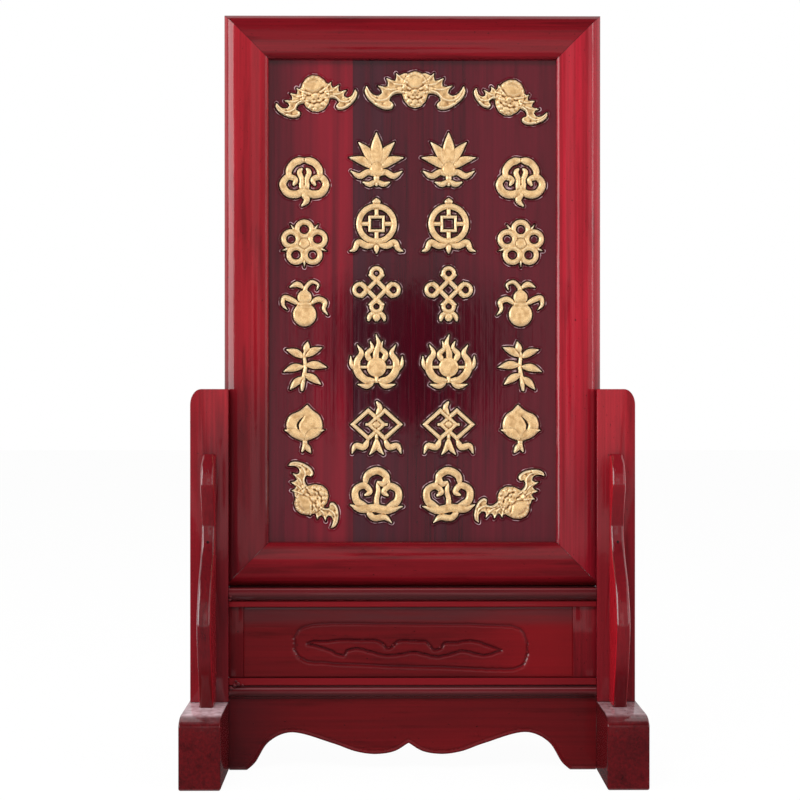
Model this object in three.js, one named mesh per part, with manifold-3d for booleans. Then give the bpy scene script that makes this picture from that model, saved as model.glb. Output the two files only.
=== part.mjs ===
// Ancestor tablet of lacquered wood: a framed panel with gilt relief pieces, which slides down
// into the grooved posts of a low stand. Millimetres, +Z up, the front faces -Y, and the origin
// is on the floor in the middle of the stand.

import * as THREE from 'three';
import { mergeVertices } from 'three/addons/utils/BufferGeometryUtils.js';
import Module from 'manifold-3d';

const wasm = await Module();
wasm.setup();

// Tablet: the mitred frame and its panel
const tabletWidth = 240;
const tabletHeight = 364.2;
const frameThickness = 24;
const frameFace = 28.4;
const frameEdgeFall = 8;
const frameLipFall = 3;
const frameBackChamfer = 1;
const panelSetback = 7;
const panelThickness = 8;
const panelTongue = 5.5;
const keyLength = 20;
const keyWidth = 10;
const keyThickness = 3;

// Stand: heights of its layers, from the floor up
const railReveal = 1.7;
const lowerRailHeight = 13;
const waistHeight = 45.1;
const upperRailHeight = 12;

// Stand: feet and posts
const footLength = 140;
const footWidth = 25.5;
const footHeight = 44;
const toeRun = 14;
const toeFall = 6;
const postWidth = 24;
const postDepth = 36;
const postRise = 126;
const postRoundAcross = 7;
const postRoundDown = 10;
const postTenonWidth = 12;
const postTenonDepth = 24;
const mortiseFloor = 10;
const grooveHold = 3.5;
const grooveSideClearance = 0.7;
const grooveFaceClearance = 0.5;

// Stand: rails, waist and apron
const railDepth = 34;
const railFilletDepth = 29;
const upperNoseHeight = 8;
const lowerFilletHeight = 4.4;
const lowerBeadHeight = 5.6;
const railGroove = 1.2;
const railTenonLength = 10;
const railTenonHeight = 6;
const railTenonDepth = 18;
const waistFront = 12;
const waistThickness = 14;
const waistStileWidthLeft = 9;
const waistStileWidthRight = 14.5;
const apronFront = 13;
const apronThickness = 14;
const apronFootLength = 14;
const apronPeak = 23.8;
const apronPeakAt = 75.4;
const apronTrough = 10;
const apronTroughAt = 21.2;
const apronCusp = 17.1;
const apronShift = -2.6;

// Stand: spandrels with the brad and the dowel that hold each
const spandrelThickness = 8.7;
const spandrelDrop = 41;
const spandrelBulge = 35;
const bradRadius = 1;
const bradLength = 24;
const bradSink = 1.5;
const dowelRadius = 2.5;
const dowelLength = 16;
const dowelSetOut = 11;

// Gilt relief pieces on the panel: half sizes, and margins from the frame's opening
const giltThickness = 3;
const innerMotifHalf = 17.5;
const outerMotifHalf = 15.5;
const columnMargin = 22.6;
const innerTopMargin = 62.9;
const innerBottomMargin = 29;
const outerTopMargin = 77.9;
const outerBottomMargin = 72.6;
const batHeadHigh = 11.4;
const centreBatHead = 8.3;
const sideBatHead = 9;
const cornerBatHead = 8.6;
const centreWing = [5.2, 3, 26.8, 0];
const sideOuterWing = [5.4, 0, 21.1, 3];
const sideInnerWing = [4.4, 0.3, 18.6, 2];
const cornerHighWing = [6, 2, 21, 1];
const cornerLowWing = [2.6, 1, 20.2, 4];
const cornerWideWing = [6, -3, 20, 7];
const centreBatMargin = 19;
const sideBatMargin = 24;
const sideBatSetOut = 0.2;
const sideBatStep = 2.4;
const centreBatShift = 1.6;
const cornerBatMargin = 27;
const cornerBatSetIn = 1.5;
const cornerBatStep = 2;

// Clearances: a glue line between flat faces, and the play of a piece in its hole or slot
const glueLine = 0.1;
const play = 0.3;

// Sizes and places that follow
const lowerRailBottom = footHeight + railReveal;
const waistBottom = lowerRailBottom + lowerRailHeight;
const upperRailBottom = waistBottom + waistHeight;
const tabletSeat = upperRailBottom + upperRailHeight;
const postTop = tabletSeat + postRise;
const clearWidth = tabletWidth - 2 * grooveHold;
const frameCrown = -frameThickness / 2;
const frameBack = frameThickness / 2;
const panelFront = frameCrown + panelSetback;
const panelBack = panelFront + panelThickness;
const openingHalf = tabletWidth / 2 - frameFace;
const openingTop = tabletHeight - frameFace;
const openingBottom = frameFace;

// Colours read from the photograph's surfaces
const lacquer = { color: 0x8e1c28, roughness: 0.3, metalness: 0 };
const darkLacquer = { color: 0x5c1a20, roughness: 0.28, metalness: 0 };
const stainedPanel = { color: 0x4d1a20, roughness: 0.35, metalness: 0 };
const gilt = { color: 0xe6c084, roughness: 0.45, metalness: 0.35 };
const steel = { color: 0x6f6c68, roughness: 0.5, metalness: 0.9 };
const plainWood = { color: 0xb78a5a, roughness: 0.7, metalness: 0 };

// Geometry helpers

const alongX = new THREE.Matrix4().makeBasis(
  new THREE.Vector3(0, 1, 0), new THREE.Vector3(0, 0, 1), new THREE.Vector3(1, 0, 0));
const alongY = new THREE.Matrix4().makeBasis(
  new THREE.Vector3(1, 0, 0), new THREE.Vector3(0, 0, 1), new THREE.Vector3(0, -1, 0));

function outline(points) {
  return new THREE.Shape(points.map(([x, y]) => new THREE.Vector2(x, y)));
}

function extrude(shape, depth, curveSegments = 8) {
  return new THREE.ExtrudeGeometry(shape, { depth, bevelEnabled: false, curveSegments });
}

// A prism whose section lies in the YZ plane, from x = from to x = to.
function prismX(shape, from, to, curveSegments) {
  return extrude(shape, to - from, curveSegments).applyMatrix4(alongX).translate(from, 0, 0);
}

// A prism whose section lies in the XZ plane, from y = from to y = to.
function prismY(shape, from, to, curveSegments) {
  return extrude(shape, to - from, curveSegments).applyMatrix4(alongY).translate(0, to, 0);
}

function block(x0, x1, y0, y1, z0, z1) {
  const geometry = new THREE.BoxGeometry(x1 - x0, y1 - y0, z1 - z0);
  return geometry.translate((x0 + x1) / 2, (y0 + y1) / 2, (z0 + z1) / 2);
}

// A round bar along Y or along Z, centred on the given point.
function barY(radius, length, x, y, z, sides = 12) {
  return new THREE.CylinderGeometry(radius, radius, length, sides).translate(x, y, z);
}

function barZ(radius, length, x, y, z, sides = 12) {
  return new THREE.CylinderGeometry(radius, radius, length, sides).rotateX(Math.PI / 2).translate(x, y, z);
}

function solid(geometry) {
  const bare = geometry.clone();
  bare.deleteAttribute('normal');
  bare.deleteAttribute('uv');
  const merged = mergeVertices(bare, 1e-4);
  return new wasm.Manifold(new wasm.Mesh({
    numProp: 3,
    vertProperties: new Float32Array(merged.attributes.position.array),
    triVerts: new Uint32Array(merged.index.array),
  }));
}

function shell(body) {
  const mesh = body.getMesh();
  const geometry = new THREE.BufferGeometry();
  geometry.setAttribute('position', new THREE.BufferAttribute(mesh.vertProperties, 3));
  geometry.setIndex(new THREE.BufferAttribute(mesh.triVerts, 1));
  geometry.computeVertexNormals();
  return geometry;
}

function cut(geometry, cutters) {
  return shell(cutters.reduce((body, cutter) => body.subtract(solid(cutter)), solid(geometry)));
}

function join(geometries) {
  return shell(geometries.slice(1).reduce((body, next) => body.add(solid(next)), solid(geometries[0])));
}

// Mirrors a geometry and turns its faces outward again.
function mirror(geometry, x, z) {
  const bare = (geometry.index ? geometry.toNonIndexed() : geometry).scale(x, 1, z);
  const array = bare.attributes.position.array;
  for (let i = 0; i < array.length; i += 9) {
    for (let k = 3; k < 6; k += 1) {
      const kept = array[i + k];
      array[i + k] = array[i + k + 3];
      array[i + k + 3] = kept;
    }
  }
  bare.computeVertexNormals();
  return bare;
}
const mirrorX = (geometry) => mirror(geometry, -1, 1);
const mirrorZ = (geometry) => mirror(geometry, 1, -1);

function piece(parent, name, geometry, finish, x = 0, y = 0, z = 0) {
  const mesh = new THREE.Mesh(geometry, new THREE.MeshStandardMaterial(finish));
  mesh.name = name;
  mesh.position.set(x, y, z);
  parent.add(mesh);
}

const stand = new THREE.Group();
const tablet = new THREE.Group();
tablet.position.z = tabletSeat + glueLine;

// Frame: one cushion section, from the outer edge (0) to the lip (frameFace), mitred at its ends

const crownProfile = [
  [0, 1], [0.04, 0.78], [0.14, 0.43], [0.29, 0.17], [0.48, 0.04], [0.66, 0],
];

function frameSection() {
  const rise = crownProfile.map(([share, fall]) => [share * frameFace, frameCrown + fall * frameEdgeFall]);
  const grooveFloor = frameFace - panelTongue - play;
  return outline([
    ...rise,
    [0.84 * frameFace, frameCrown + 0.17 * frameLipFall],
    [0.945 * frameFace, frameCrown + 0.5 * frameLipFall],
    [frameFace, frameCrown + frameLipFall],
    [frameFace, panelFront - play],
    [grooveFloor, panelFront - play],
    [grooveFloor, panelBack + play],
    [frameFace, panelBack + play],
    [frameFace, frameBack],
    [frameBackChamfer, frameBack],
    [0, frameBack - frameBackChamfer],
  ]);
}

// How far in front of the back plane the moulded face stands, at a distance in from the edge
function frameFrontAt(inset) {
  const share = inset / frameFace;
  const next = crownProfile.findIndex(([at]) => at >= share);
  const [s0, f0] = crownProfile[next - 1];
  const [s1, f1] = crownProfile[next];
  const fall = f0 + (f1 - f0) * (share - s0) / (s1 - s0);
  return frameCrown + fall * frameEdgeFall;
}

// A rail of the frame lying along X with its outer edge at z = 0, its length measured there.
// Local x is the way in from the edge before the section is stood up.
function mitredRail(length) {
  const geometry = extrude(frameSection(), length);
  const position = geometry.attributes.position;
  for (let i = 0; i < position.count; i += 1) {
    const inset = position.getX(i);
    const end = position.getZ(i) > length / 2 ? -1 : 1;
    position.setZ(i, position.getZ(i) + end * (inset + glueLine / 2));
  }
  const layDown = new THREE.Matrix4().makeBasis(
    new THREE.Vector3(0, 0, 1), new THREE.Vector3(0, 1, 0), new THREE.Vector3(-1, 0, 0));
  return geometry.applyMatrix4(layDown).translate(length / 2, 0, 0);
}

const keyDepth = (panelBack + play + frameBack) / 2;
const keyAt = frameFace / 2;
const corners = [
  ['top_left', -1, 1], ['top_right', 1, 1], ['bottom_left', -1, -1], ['bottom_right', 1, -1],
];

// A corner key lies square across the mitre, so it points along the other diagonal.
function keyShape(side, end, grow) {
  const long = keyLength / 2 + grow;
  const short = keyWidth / 2 + grow;
  const thick = keyThickness / 2 + grow;
  const geometry = block(-long, long, -thick, thick, -short, short);
  geometry.rotateY(side * end * Math.PI / 4);
  const x = side * (tabletWidth / 2 - keyAt);
  const z = end > 0 ? tabletHeight - keyAt : keyAt;
  return geometry.translate(x, keyDepth, z);
}

function makeFrame() {
  const slots = corners.map(([, side, end]) => keyShape(side, end, play));
  const bottom = mitredRail(tabletWidth);
  const top = mirrorZ(mitredRail(tabletWidth)).translate(0, 0, tabletHeight);
  const left = mitredRail(tabletHeight).rotateY(Math.PI / 2).translate(-tabletWidth / 2, 0, tabletHeight / 2);
  const right = mitredRail(tabletHeight).rotateY(-Math.PI / 2).translate(tabletWidth / 2, 0, tabletHeight / 2);
  piece(tablet, 'frame_bottom_rail', cut(bottom, slots), lacquer);
  piece(tablet, 'frame_top_rail', cut(top, slots), lacquer);
  piece(tablet, 'frame_left_stile', cut(left, slots), lacquer);
  piece(tablet, 'frame_right_stile', cut(right, slots), lacquer);
  for (const [name, side, end] of corners) {
    piece(tablet, `mitre_key_${name}`, keyShape(side, end, 0), plainWood);
  }
}

function makePanel() {
  const half = openingHalf + panelTongue;
  const low = openingBottom - panelTongue;
  const high = openingTop + panelTongue;
  const board = block(-half, half, 0, panelThickness, low, high);
  piece(tablet, 'tablet_panel', board, stainedPanel, 0, panelFront, 0);
}

// Gilt pieces: flat shapes in units of the motif's half size, joined into one relief

const scaled = (points, unit) => points.map(([x, z]) => [x * unit, z * unit]);

function disc(x, z, radius, sides = 8) {
  const points = [];
  for (let i = 0; i < sides; i += 1) {
    const turn = 2 * Math.PI * i / sides;
    points.push([x + radius * Math.cos(turn), z + radius * Math.sin(turn)]);
  }
  return { points, holes: [] };
}

function ring(x, z, radius, width, sides = 8) {
  const outer = disc(x, z, radius, sides);
  outer.holes.push(disc(x, z, radius - width, sides).points.reverse());
  return outer;
}

// A pointed leaf or petal from its root, along a heading in degrees from straight up.
function leaf(x, z, length, width, heading, bend = 0) {
  const tip = 4;
  const left = [];
  const right = [];
  for (let i = 1; i < tip; i += 1) {
    const t = i / tip;
    const half = width / 2 * Math.sin(Math.PI * Math.pow(t, 0.85));
    const sway = bend * Math.sin(Math.PI * t);
    left.push([sway - half, t * length]);
    right.unshift([sway + half, t * length]);
  }
  const points = [[0, 0], ...left, [0, length], ...right];
  const turn = -THREE.MathUtils.degToRad(heading);
  const c = Math.cos(turn);
  const s = Math.sin(turn);
  return { points: points.map(([u, v]) => [x + u * c - v * s, z + u * s + v * c]), holes: [] };
}

// A brush-like stroke along a smooth line: each entry is x, z and the half width there.
function stroke(entries, steps = 1) {
  const curve = new THREE.CatmullRomCurve3(
    entries.map(([x, z, half]) => new THREE.Vector3(x, z, half)), false, 'centripetal');
  const count = (entries.length - 1) * steps;
  const left = [];
  const right = [];
  for (let i = 0; i <= count; i += 1) {
    const at = curve.getPoint(i / count);
    const way = curve.getPoint(Math.min(1, i / count + 0.01)).sub(curve.getPoint(Math.max(0, i / count - 0.01)));
    const length = Math.hypot(way.x, way.y);
    const nx = -way.y / length;
    const nz = way.x / length;
    const cap = i === 0 || i === count ? 0.45 : 1;
    left.push([at.x + nx * at.z * cap, at.y + nz * at.z * cap]);
    right.unshift([at.x - nx * at.z * cap, at.y - nz * at.z * cap]);
  }
  return { points: [...left, ...right], holes: [] };
}

function bar(x0, z0, x1, z1, width) {
  const half = width / 2;
  const length = Math.hypot(x1 - x0, z1 - z0);
  const ux = (x1 - x0) / length * half;
  const uz = (z1 - z0) / length * half;
  return {
    points: [[x0 - uz, z0 + ux], [x0 + uz, z0 - ux], [x1 + uz, z1 - ux], [x1 - uz, z1 + ux]],
    holes: [],
  };
}

function lozenge(x, z, halfWide, halfTall, width) {
  const inWide = halfWide - width * 1.35;
  const inTall = halfTall - width * 1.35;
  const ringAt = (w, t) => [[x + w, z], [x, z + t], [x - w, z], [x, z - t]];
  return { points: ringAt(halfWide, halfTall), holes: [ringAt(inWide, inTall).reverse()] };
}

const mirrored = (shapes) => shapes.map(({ points, holes }) => ({
  points: points.map(([x, z]) => [-x, z]).reverse(),
  holes: holes.map((hole) => hole.map(([x, z]) => [-x, z]).reverse()),
}));
const bothSides = (shapes) => [...shapes, ...mirrored(shapes)];

// Cloud with two volutes, a curled crest and a tail, as on a ruyi sceptre's head
function ruyiCloud() {
  return [
    ...bothSides([
      stroke([
        [0, -0.3, 0.1], [0.32, -0.5, 0.15], [0.7, -0.44, 0.15], [0.9, -0.08, 0.14],
        [0.68, 0.22, 0.12], [0.36, 0.1, 0.1], [0.46, -0.14, 0.07],
      ]),
      stroke([[0.62, 0.14, 0.1], [0.64, 0.5, 0.13], [0.4, 0.82, 0.14], [0, 0.94, 0.15]]),
      stroke([[0.14, -0.3, 0.12], [0.1, 0.1, 0.1], [0.2, 0.42, 0.1], [0.08, 0.58, 0.06]]),
    ]),
    stroke([[0, -0.1, 0.16], [0, -0.45, 0.15], [0.1, -0.75, 0.12], [-0.12, -1, 0.04]]),
  ];
}

// Five petals round a stamen boss
function plumBlossom() {
  const petals = [];
  for (let i = 0; i < 5; i += 1) {
    const turn = Math.PI / 2 + 2 * Math.PI * i / 5;
    petals.push(ring(0.58 * Math.cos(turn), 0.58 * Math.sin(turn), 0.4, 0.2));
    petals.push(leaf(0, 0, 0.98, 0.15, 360 * i / 5 + 36));
  }
  return [...petals, disc(0, 0, 0.22)];
}

// Calabash tied with a ribbon, with a curled stalk
function gourd() {
  return [
    disc(0, -0.4, 0.48, 12),
    disc(0, 0.32, 0.29),
    bar(-0.3, 0.04, 0.3, 0.04, 0.16),
    stroke([[0, 0.5, 0.1], [0.06, 0.74, 0.08], [0.3, 0.96, 0.07], [0.56, 0.84, 0.05], [0.5, 0.62, 0.02]]),
    stroke([[0.24, 0.04, 0.08], [0.56, 0.24, 0.11], [0.84, 0.12, 0.1], [0.8, -0.18, 0.07], [0.98, -0.42, 0.02]]),
    stroke([[-0.24, 0.04, 0.08], [-0.56, 0.22, 0.11], [-0.84, 0.3, 0.1], [-0.9, 0.02, 0.07], [-0.72, -0.2, 0.02]]),
    stroke([[-0.02, 0.7, 0.07], [-0.3, 0.86, 0.11], [-0.62, 0.74, 0.03]]),
  ];
}

// Spray of bamboo with brushed leaves
function bambooSpray() {
  return [
    stroke([[-0.1, -1, 0.09], [-0.04, -0.5, 0.08], [0.04, 0, 0.075], [0, 0.45, 0.06], [0.06, 0.72, 0.04]]),
    leaf(0.04, 0.55, 0.5, 0.26, 12),
    leaf(0.02, 0.4, 0.82, 0.3, 62, -0.05),
    leaf(0, 0.36, 0.84, 0.3, -66, 0.05),
    leaf(0.02, 0.06, 0.92, 0.32, 96, -0.05),
    leaf(0, 0, 0.9, 0.3, -104, 0.06),
    leaf(-0.02, -0.3, 0.84, 0.3, 122, -0.04),
    leaf(-0.04, -0.42, 0.78, 0.28, -134, 0.04),
  ];
}

// Peach of long life on its twig
function peach() {
  const body = new THREE.Shape();
  body.moveTo(0.12, 0.96);
  body.bezierCurveTo(0.3, 0.72, 0.82, 0.6, 0.74, 0.08);
  body.bezierCurveTo(0.68, -0.3, 0.3, -0.5, 0, -0.5);
  body.bezierCurveTo(-0.34, -0.5, -0.74, -0.26, -0.74, 0.12);
  body.bezierCurveTo(-0.72, 0.6, -0.2, 0.62, 0.12, 0.96);
  const points = body.getPoints(4).slice(0, -1).map((p) => [p.x, p.y]);
  const cleft = stroke([[-0.02, 0.5, 0.015], [-0.26, 0.16, 0.05], [-0.2, -0.2, 0.015]], 2).points.reverse();
  return [
    { points, holes: [cleft] },
    leaf(0, -0.52, 0.94, 0.34, 62, -0.12),
    leaf(0, -0.52, 0.94, 0.34, -62, 0.12),
    stroke([[0, -0.42, 0.1], [0.02, -0.66, 0.09], [-0.1, -0.98, 0.06]]),
    leaf(0, -0.62, 0.5, 0.22, 146, 0),
  ];
}

// Lotus flower over its pod and two waves
function lotus() {
  return [
    leaf(0, -0.34, 1.3, 0.44, 0),
    ...bothSides([
      leaf(0.02, -0.36, 1.16, 0.34, 34, -0.08),
      leaf(0.04, -0.4, 1.06, 0.3, 66, -0.1),
      stroke([[0, -0.62, 0.08], [0.3, -0.5, 0.1], [0.62, -0.64, 0.1], [0.94, -0.46, 0.03]]),
      stroke([[0, -0.8, 0.07], [0.24, -0.94, 0.09], [0.5, -0.86, 0.03]]),
    ]),
    disc(0, -0.4, 0.24),
    stroke([[0, -0.4, 0.1], [0, -0.7, 0.1], [0, -1, 0.08]]),
  ];
}

// Round coin with a square eye, tied with ribbons
function coin() {
  const eye = lozenge(0, 0.08, 0.42, 0.42, 0.1);
  const spin = ([x, z]) => [(x + z - 0.08) * Math.SQRT1_2, (z - 0.08 - x) * Math.SQRT1_2 + 0.08];
  const square = { points: eye.points.map(spin), holes: eye.holes.map((hole) => hole.map(spin)) };
  return [
    ring(0, 0.08, 0.74, 0.2, 14),
    square,
    ...bothSides([
      bar(0.24, 0.08, 0.6, 0.08, 0.14),
      stroke([[0, -0.6, 0.08], [0.34, -0.72, 0.11], [0.66, -0.6, 0.11], [0.8, -0.84, 0.08], [0.98, -0.92, 0.02]]),
    ]),
    bar(0, 0.36, 0, 0.64, 0.14),
    bar(0, -0.5, 0, -0.2, 0.14),
    leaf(0, 0.78, 0.24, 0.3, 0),
    stroke([[0, -0.62, 0.1], [0, -0.84, 0.09], [0, -1, 0.03]]),
  ];
}

// Endless knot: a lattice of cords with a loop at each corner, and a tassel
function endlessKnot() {
  const across = 0.17;
  const reach = 0.42;
  const middle = 0.14;
  return [
    ...[-across, across].flatMap((shift) => [
      bar(shift - reach, middle - reach - shift, shift + reach, middle + reach - shift, 0.15),
      bar(shift - reach, middle + reach + shift, shift + reach, middle - reach + shift, 0.15),
    ]),
    ring(0, middle + 0.6, 0.26, 0.14),
    ring(0, middle - 0.6, 0.26, 0.14),
    ring(0.6, middle, 0.28, 0.14),
    ring(-0.6, middle, 0.28, 0.14),
    stroke([[0, -0.62, 0.12], [0, -0.8, 0.14], [0, -1, 0.12]]),
    ...bothSides([stroke([[0.04, -0.66, 0.08], [0.24, -0.8, 0.08], [0.3, -1, 0.06]])]),
  ];
}

// Flaming pearl
function flamingPearl() {
  return [
    disc(0, -0.22, 0.36, 10),
    ...bothSides([
      stroke([
        [0.05, -0.72, 0.1], [0.42, -0.68, 0.13], [0.7, -0.38, 0.14], [0.72, 0, 0.12],
        [0.56, 0.3, 0.09], [0.72, 0.62, 0.02],
      ]),
      stroke([[0.7, -0.36, 0.08], [0.92, -0.14, 0.08], [0.96, 0.2, 0.02]]),
      stroke([[0.08, -0.7, 0.08], [0.34, -0.92, 0.1], [0.7, -0.86, 0.03]]),
      stroke([[0.2, -0.04, 0.1], [0.34, 0.26, 0.1], [0.16, 0.5, 0.07], [0.24, 0.76, 0.02]]),
    ]),
    stroke([[0, -0.1, 0.1], [-0.02, 0.3, 0.11], [0.08, 0.62, 0.09], [-0.02, 1, 0.02]]),
    bar(0.28, -0.22, 0.7, -0.22, 0.1),
    bar(-0.7, -0.22, -0.28, -0.22, 0.1),
    bar(0, -0.8, 0, -0.5, 0.14),
  ];
}

// Two interlocked lozenges with ribbons
function twinLozenge() {
  return [
    lozenge(-0.3, 0.16, 0.66, 0.6, 0.14),
    lozenge(0.3, 0.16, 0.66, 0.6, 0.14),
    stroke([[0, 0.5, 0.08], [0.12, 0.78, 0.09], [0, 1, 0.05]]),
    ...bothSides([
      stroke([[0.3, -0.38, 0.08], [0.46, -0.66, 0.11], [0.76, -0.62, 0.1], [0.9, -0.9, 0.03]]),
      stroke([[0, -0.34, 0.06], [0.06, -0.66, 0.1], [0.26, -0.94, 0.03]]),
    ]),
    disc(0, 0.16, 0.13, 6),
    bar(-0.4, 0.16, 0.4, 0.16, 0.1),
    bar(0, -0.36, 0, -0.1, 0.12),
  ];
}

// Drifting cloud of three volutes
function driftingCloud() {
  return [
    stroke([
      [-0.96, -0.3, 0.03], [-0.6, -0.46, 0.12], [-0.1, -0.42, 0.14], [0.4, -0.5, 0.14], [0.96, -0.36, 0.03],
    ]),
    stroke([
      [-0.3, -0.4, 0.12], [-0.72, -0.16, 0.13], [-0.76, 0.24, 0.12], [-0.44, 0.4, 0.11],
      [-0.24, 0.16, 0.09], [-0.44, 0.04, 0.06],
    ]),
    stroke([
      [0.34, -0.44, 0.12], [0.76, -0.16, 0.13], [0.78, 0.22, 0.12], [0.48, 0.38, 0.11],
      [0.26, 0.16, 0.09], [0.44, 0.02, 0.06],
    ]),
    stroke([
      [-0.42, 0.38, 0.08], [-0.34, 0.76, 0.12], [0.04, 0.94, 0.13], [0.36, 0.72, 0.12],
      [0.24, 0.46, 0.1], [0.02, 0.54, 0.06],
    ]),
    stroke([[0.44, 0.36, 0.08], [0.4, 0.56, 0.09], [0.34, 0.74, 0.08]]),
    stroke([[-0.36, -0.5, 0.1], [-0.1, -0.78, 0.11], [0.3, -0.76, 0.1], [0.56, -0.96, 0.02]]),
    stroke([[0.02, -0.44, 0.1], [0, -0.1, 0.09], [0.06, 0.2, 0.08], [0.02, 0.5, 0.06]]),
  ];
}

// Bat, upright with its chin down. Its wing is in units of its reach from the root in the head's side:
// from the head along the finger tips to the hook, and back along the thumb.
const batWing = [
  [-0.1, 0.24], [0.05, 0.27], [0.13, 0.24], [0.19, 0.22], [0.26, 0.28], [0.25, 0.18], [0.28, 0.09], [0.37, 0.11],
  [0.49, 0.16], [0.45, 0.06], [0.46, -0.04], [0.56, -0.05], [0.7, -0.02], [0.61, -0.11], [0.59, -0.2], [0.68, -0.26],
  [0.79, -0.24], [0.88, -0.16], [0.96, -0.03], [1, -0.15], [0.94, -0.3], [0.81, -0.43], [0.64, -0.54], [0.49, -0.58],
  [0.37, -0.56], [0.32, -0.49], [0.35, -0.43], [0.42, -0.38], [0.4, -0.3], [0.31, -0.22], [0.17, -0.2], [-0.1, -0.24],
];

// Each wing has its root's place from the middle of the head, outwards and up, its reach and its droop.
function bat(headHalf, ...wings) {
  const sides = wings.map(([out, up, reach, droop], k) => {
    const side = k ? 1 : -1;
    const turn = THREE.MathUtils.degToRad(droop);
    const c = Math.cos(turn) * reach;
    const s = Math.sin(turn) * reach;
    return { points: batWing.map(([u, v]) => [side * (out + u * c + v * s), up - u * s + v * c]), holes: [] };
  });
  const head = disc(0, 0, 1, 16).points.map(([x, z]) => [x * headHalf, z * batHeadHigh]);
  return [...sides, { points: head, holes: [] }];
}

// Joins flat shapes into one relief piece that lies on the panel's face.
function relief(shapes, unit, tilt = 0) {
  const turn = THREE.MathUtils.degToRad(tilt);
  const c = Math.cos(turn);
  const s = Math.sin(turn);
  const place = (points) => scaled(points, unit).map(([x, z]) => [x * c - z * s, x * s + z * c]);
  return join(shapes.map(({ points, holes }) => {
    const shape = outline(place(points));
    for (const hole of holes) shape.holes.push(outline(place(hole)));
    return prismY(shape, -giltThickness - glueLine, -glueLine);
  }));
}

const innerMotifs = [lotus, coin, endlessKnot, flamingPearl, twinLozenge, driftingCloud];
const outerMotifs = [ruyiCloud, plumBlossom, gourd, bambooSpray, peach];
const motifName = (make) => make.name.replace(/[A-Z]/g, (letter) => `_${letter.toLowerCase()}`);

// A column of motifs, evenly spaced from its top margin down to its bottom margin
function makeColumn(motifs, side, x, top, bottom, half) {
  const span = openingTop - top - (openingBottom + bottom);
  motifs.forEach((make, row) => {
    const z = openingTop - top - span * row / (motifs.length - 1);
    const shapes = side < 0 ? make() : mirrored(make());
    const name = `gilt_${motifName(make)}_${side < 0 ? 'left' : 'right'}`;
    piece(tablet, name, relief(shapes, half), gilt, side * x, panelFront, z);
  });
}

function makeGilding() {
  const outer = openingHalf - columnMargin;
  for (const side of [-1, 1]) {
    makeColumn(outerMotifs, side, outer, outerTopMargin, outerBottomMargin, outerMotifHalf);
    makeColumn(innerMotifs, side, outer / 3, innerTopMargin, innerBottomMargin, innerMotifHalf);
  }
  // Each side bat hangs midway between the centre bat and the frame, and each corner bat midway
  // between the last inner motif and the frame, with a small set-out or set-in.
  const sideX = (centreWing[0] + centreWing[2] + openingHalf) / 2 + sideBatSetOut;
  const cornerX = (outer / 3 + innerMotifHalf + openingHalf) / 2 - cornerBatSetIn;
  const centreZ = openingTop - centreBatMargin;
  const sideZ = openingTop - sideBatMargin;
  const cornerZ = openingBottom + cornerBatMargin;
  const bats = [
    ['bat_top_centre', bat(centreBatHead, centreWing, centreWing), 0, centreBatShift, centreZ],
    ['bat_top_left', bat(sideBatHead, sideOuterWing, sideOuterWing), 10, -sideX, sideZ + sideBatStep],
    ['bat_top_right', bat(sideBatHead, sideInnerWing, sideOuterWing), -18, sideX, sideZ],
    ['bat_bottom_left', bat(cornerBatHead, cornerLowWing, cornerHighWing), 122, -cornerX, cornerZ],
    ['bat_bottom_right', bat(cornerBatHead, cornerHighWing, cornerWideWing), -137, cornerX, cornerZ - cornerBatStep],
  ];
  for (const [name, shapes, tilt, x, z] of bats) {
    piece(tablet, name, relief(shapes, 1, tilt), gilt, x, panelFront, z);
  }
}

// Stand

const innerFace = clearWidth / 2;
const upperTenonAt = upperRailBottom + upperRailHeight / 2;
const lowerTenonAt = lowerRailBottom + lowerRailHeight / 2;
const spandrelHeight = postTop - spandrelDrop - footHeight;
const spandrelX = innerFace + postWidth / 2;
const spandrelProfile = [
  [0, 0.54], [0.05, 0.61], [0.17, 0.83], [0.34, 1], [0.49, 0.76], [0.62, 0.29],
  [0.71, 0.17], [0.79, 0.26], [0.88, 0.41], [0.955, 0.31], [1, 0.12],
];
const bradHeight = footHeight + 0.65 * spandrelHeight;
const bradStart = postDepth / 2 + 0.23 * spandrelBulge - bradSink;
const dowelY = postDepth / 2 + dowelSetOut;

function makeFoot(name, side) {
  const half = footLength / 2;
  const section = new THREE.Shape();
  section.moveTo(-half, 0);
  section.lineTo(half, 0);
  section.absellipse(half - toeRun, footHeight - toeFall, toeRun, toeFall, 0, Math.PI / 2);
  section.absellipse(toeRun - half, footHeight - toeFall, toeRun, toeFall, Math.PI / 2, Math.PI);
  const x0 = Math.min(side * innerFace, side * (innerFace + footWidth));
  const body = prismX(section, x0, x0 + footWidth, 6);
  const centre = side * (innerFace + postWidth / 2);
  const holeX = postTenonWidth / 2 + play;
  const holeY = postTenonDepth / 2 + play;
  const over = 1;
  const mortise = block(centre - holeX, centre + holeX, -holeY, holeY, mortiseFloor, footHeight + over);
  const dowelHoles = [-1, 1].map((end) => barZ(
    dowelRadius + play, dowelLength + 2 * play, side * spandrelX, end * dowelY, footHeight));
  piece(stand, name, cut(body, [mortise, ...dowelHoles]), lacquer);
}

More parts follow.
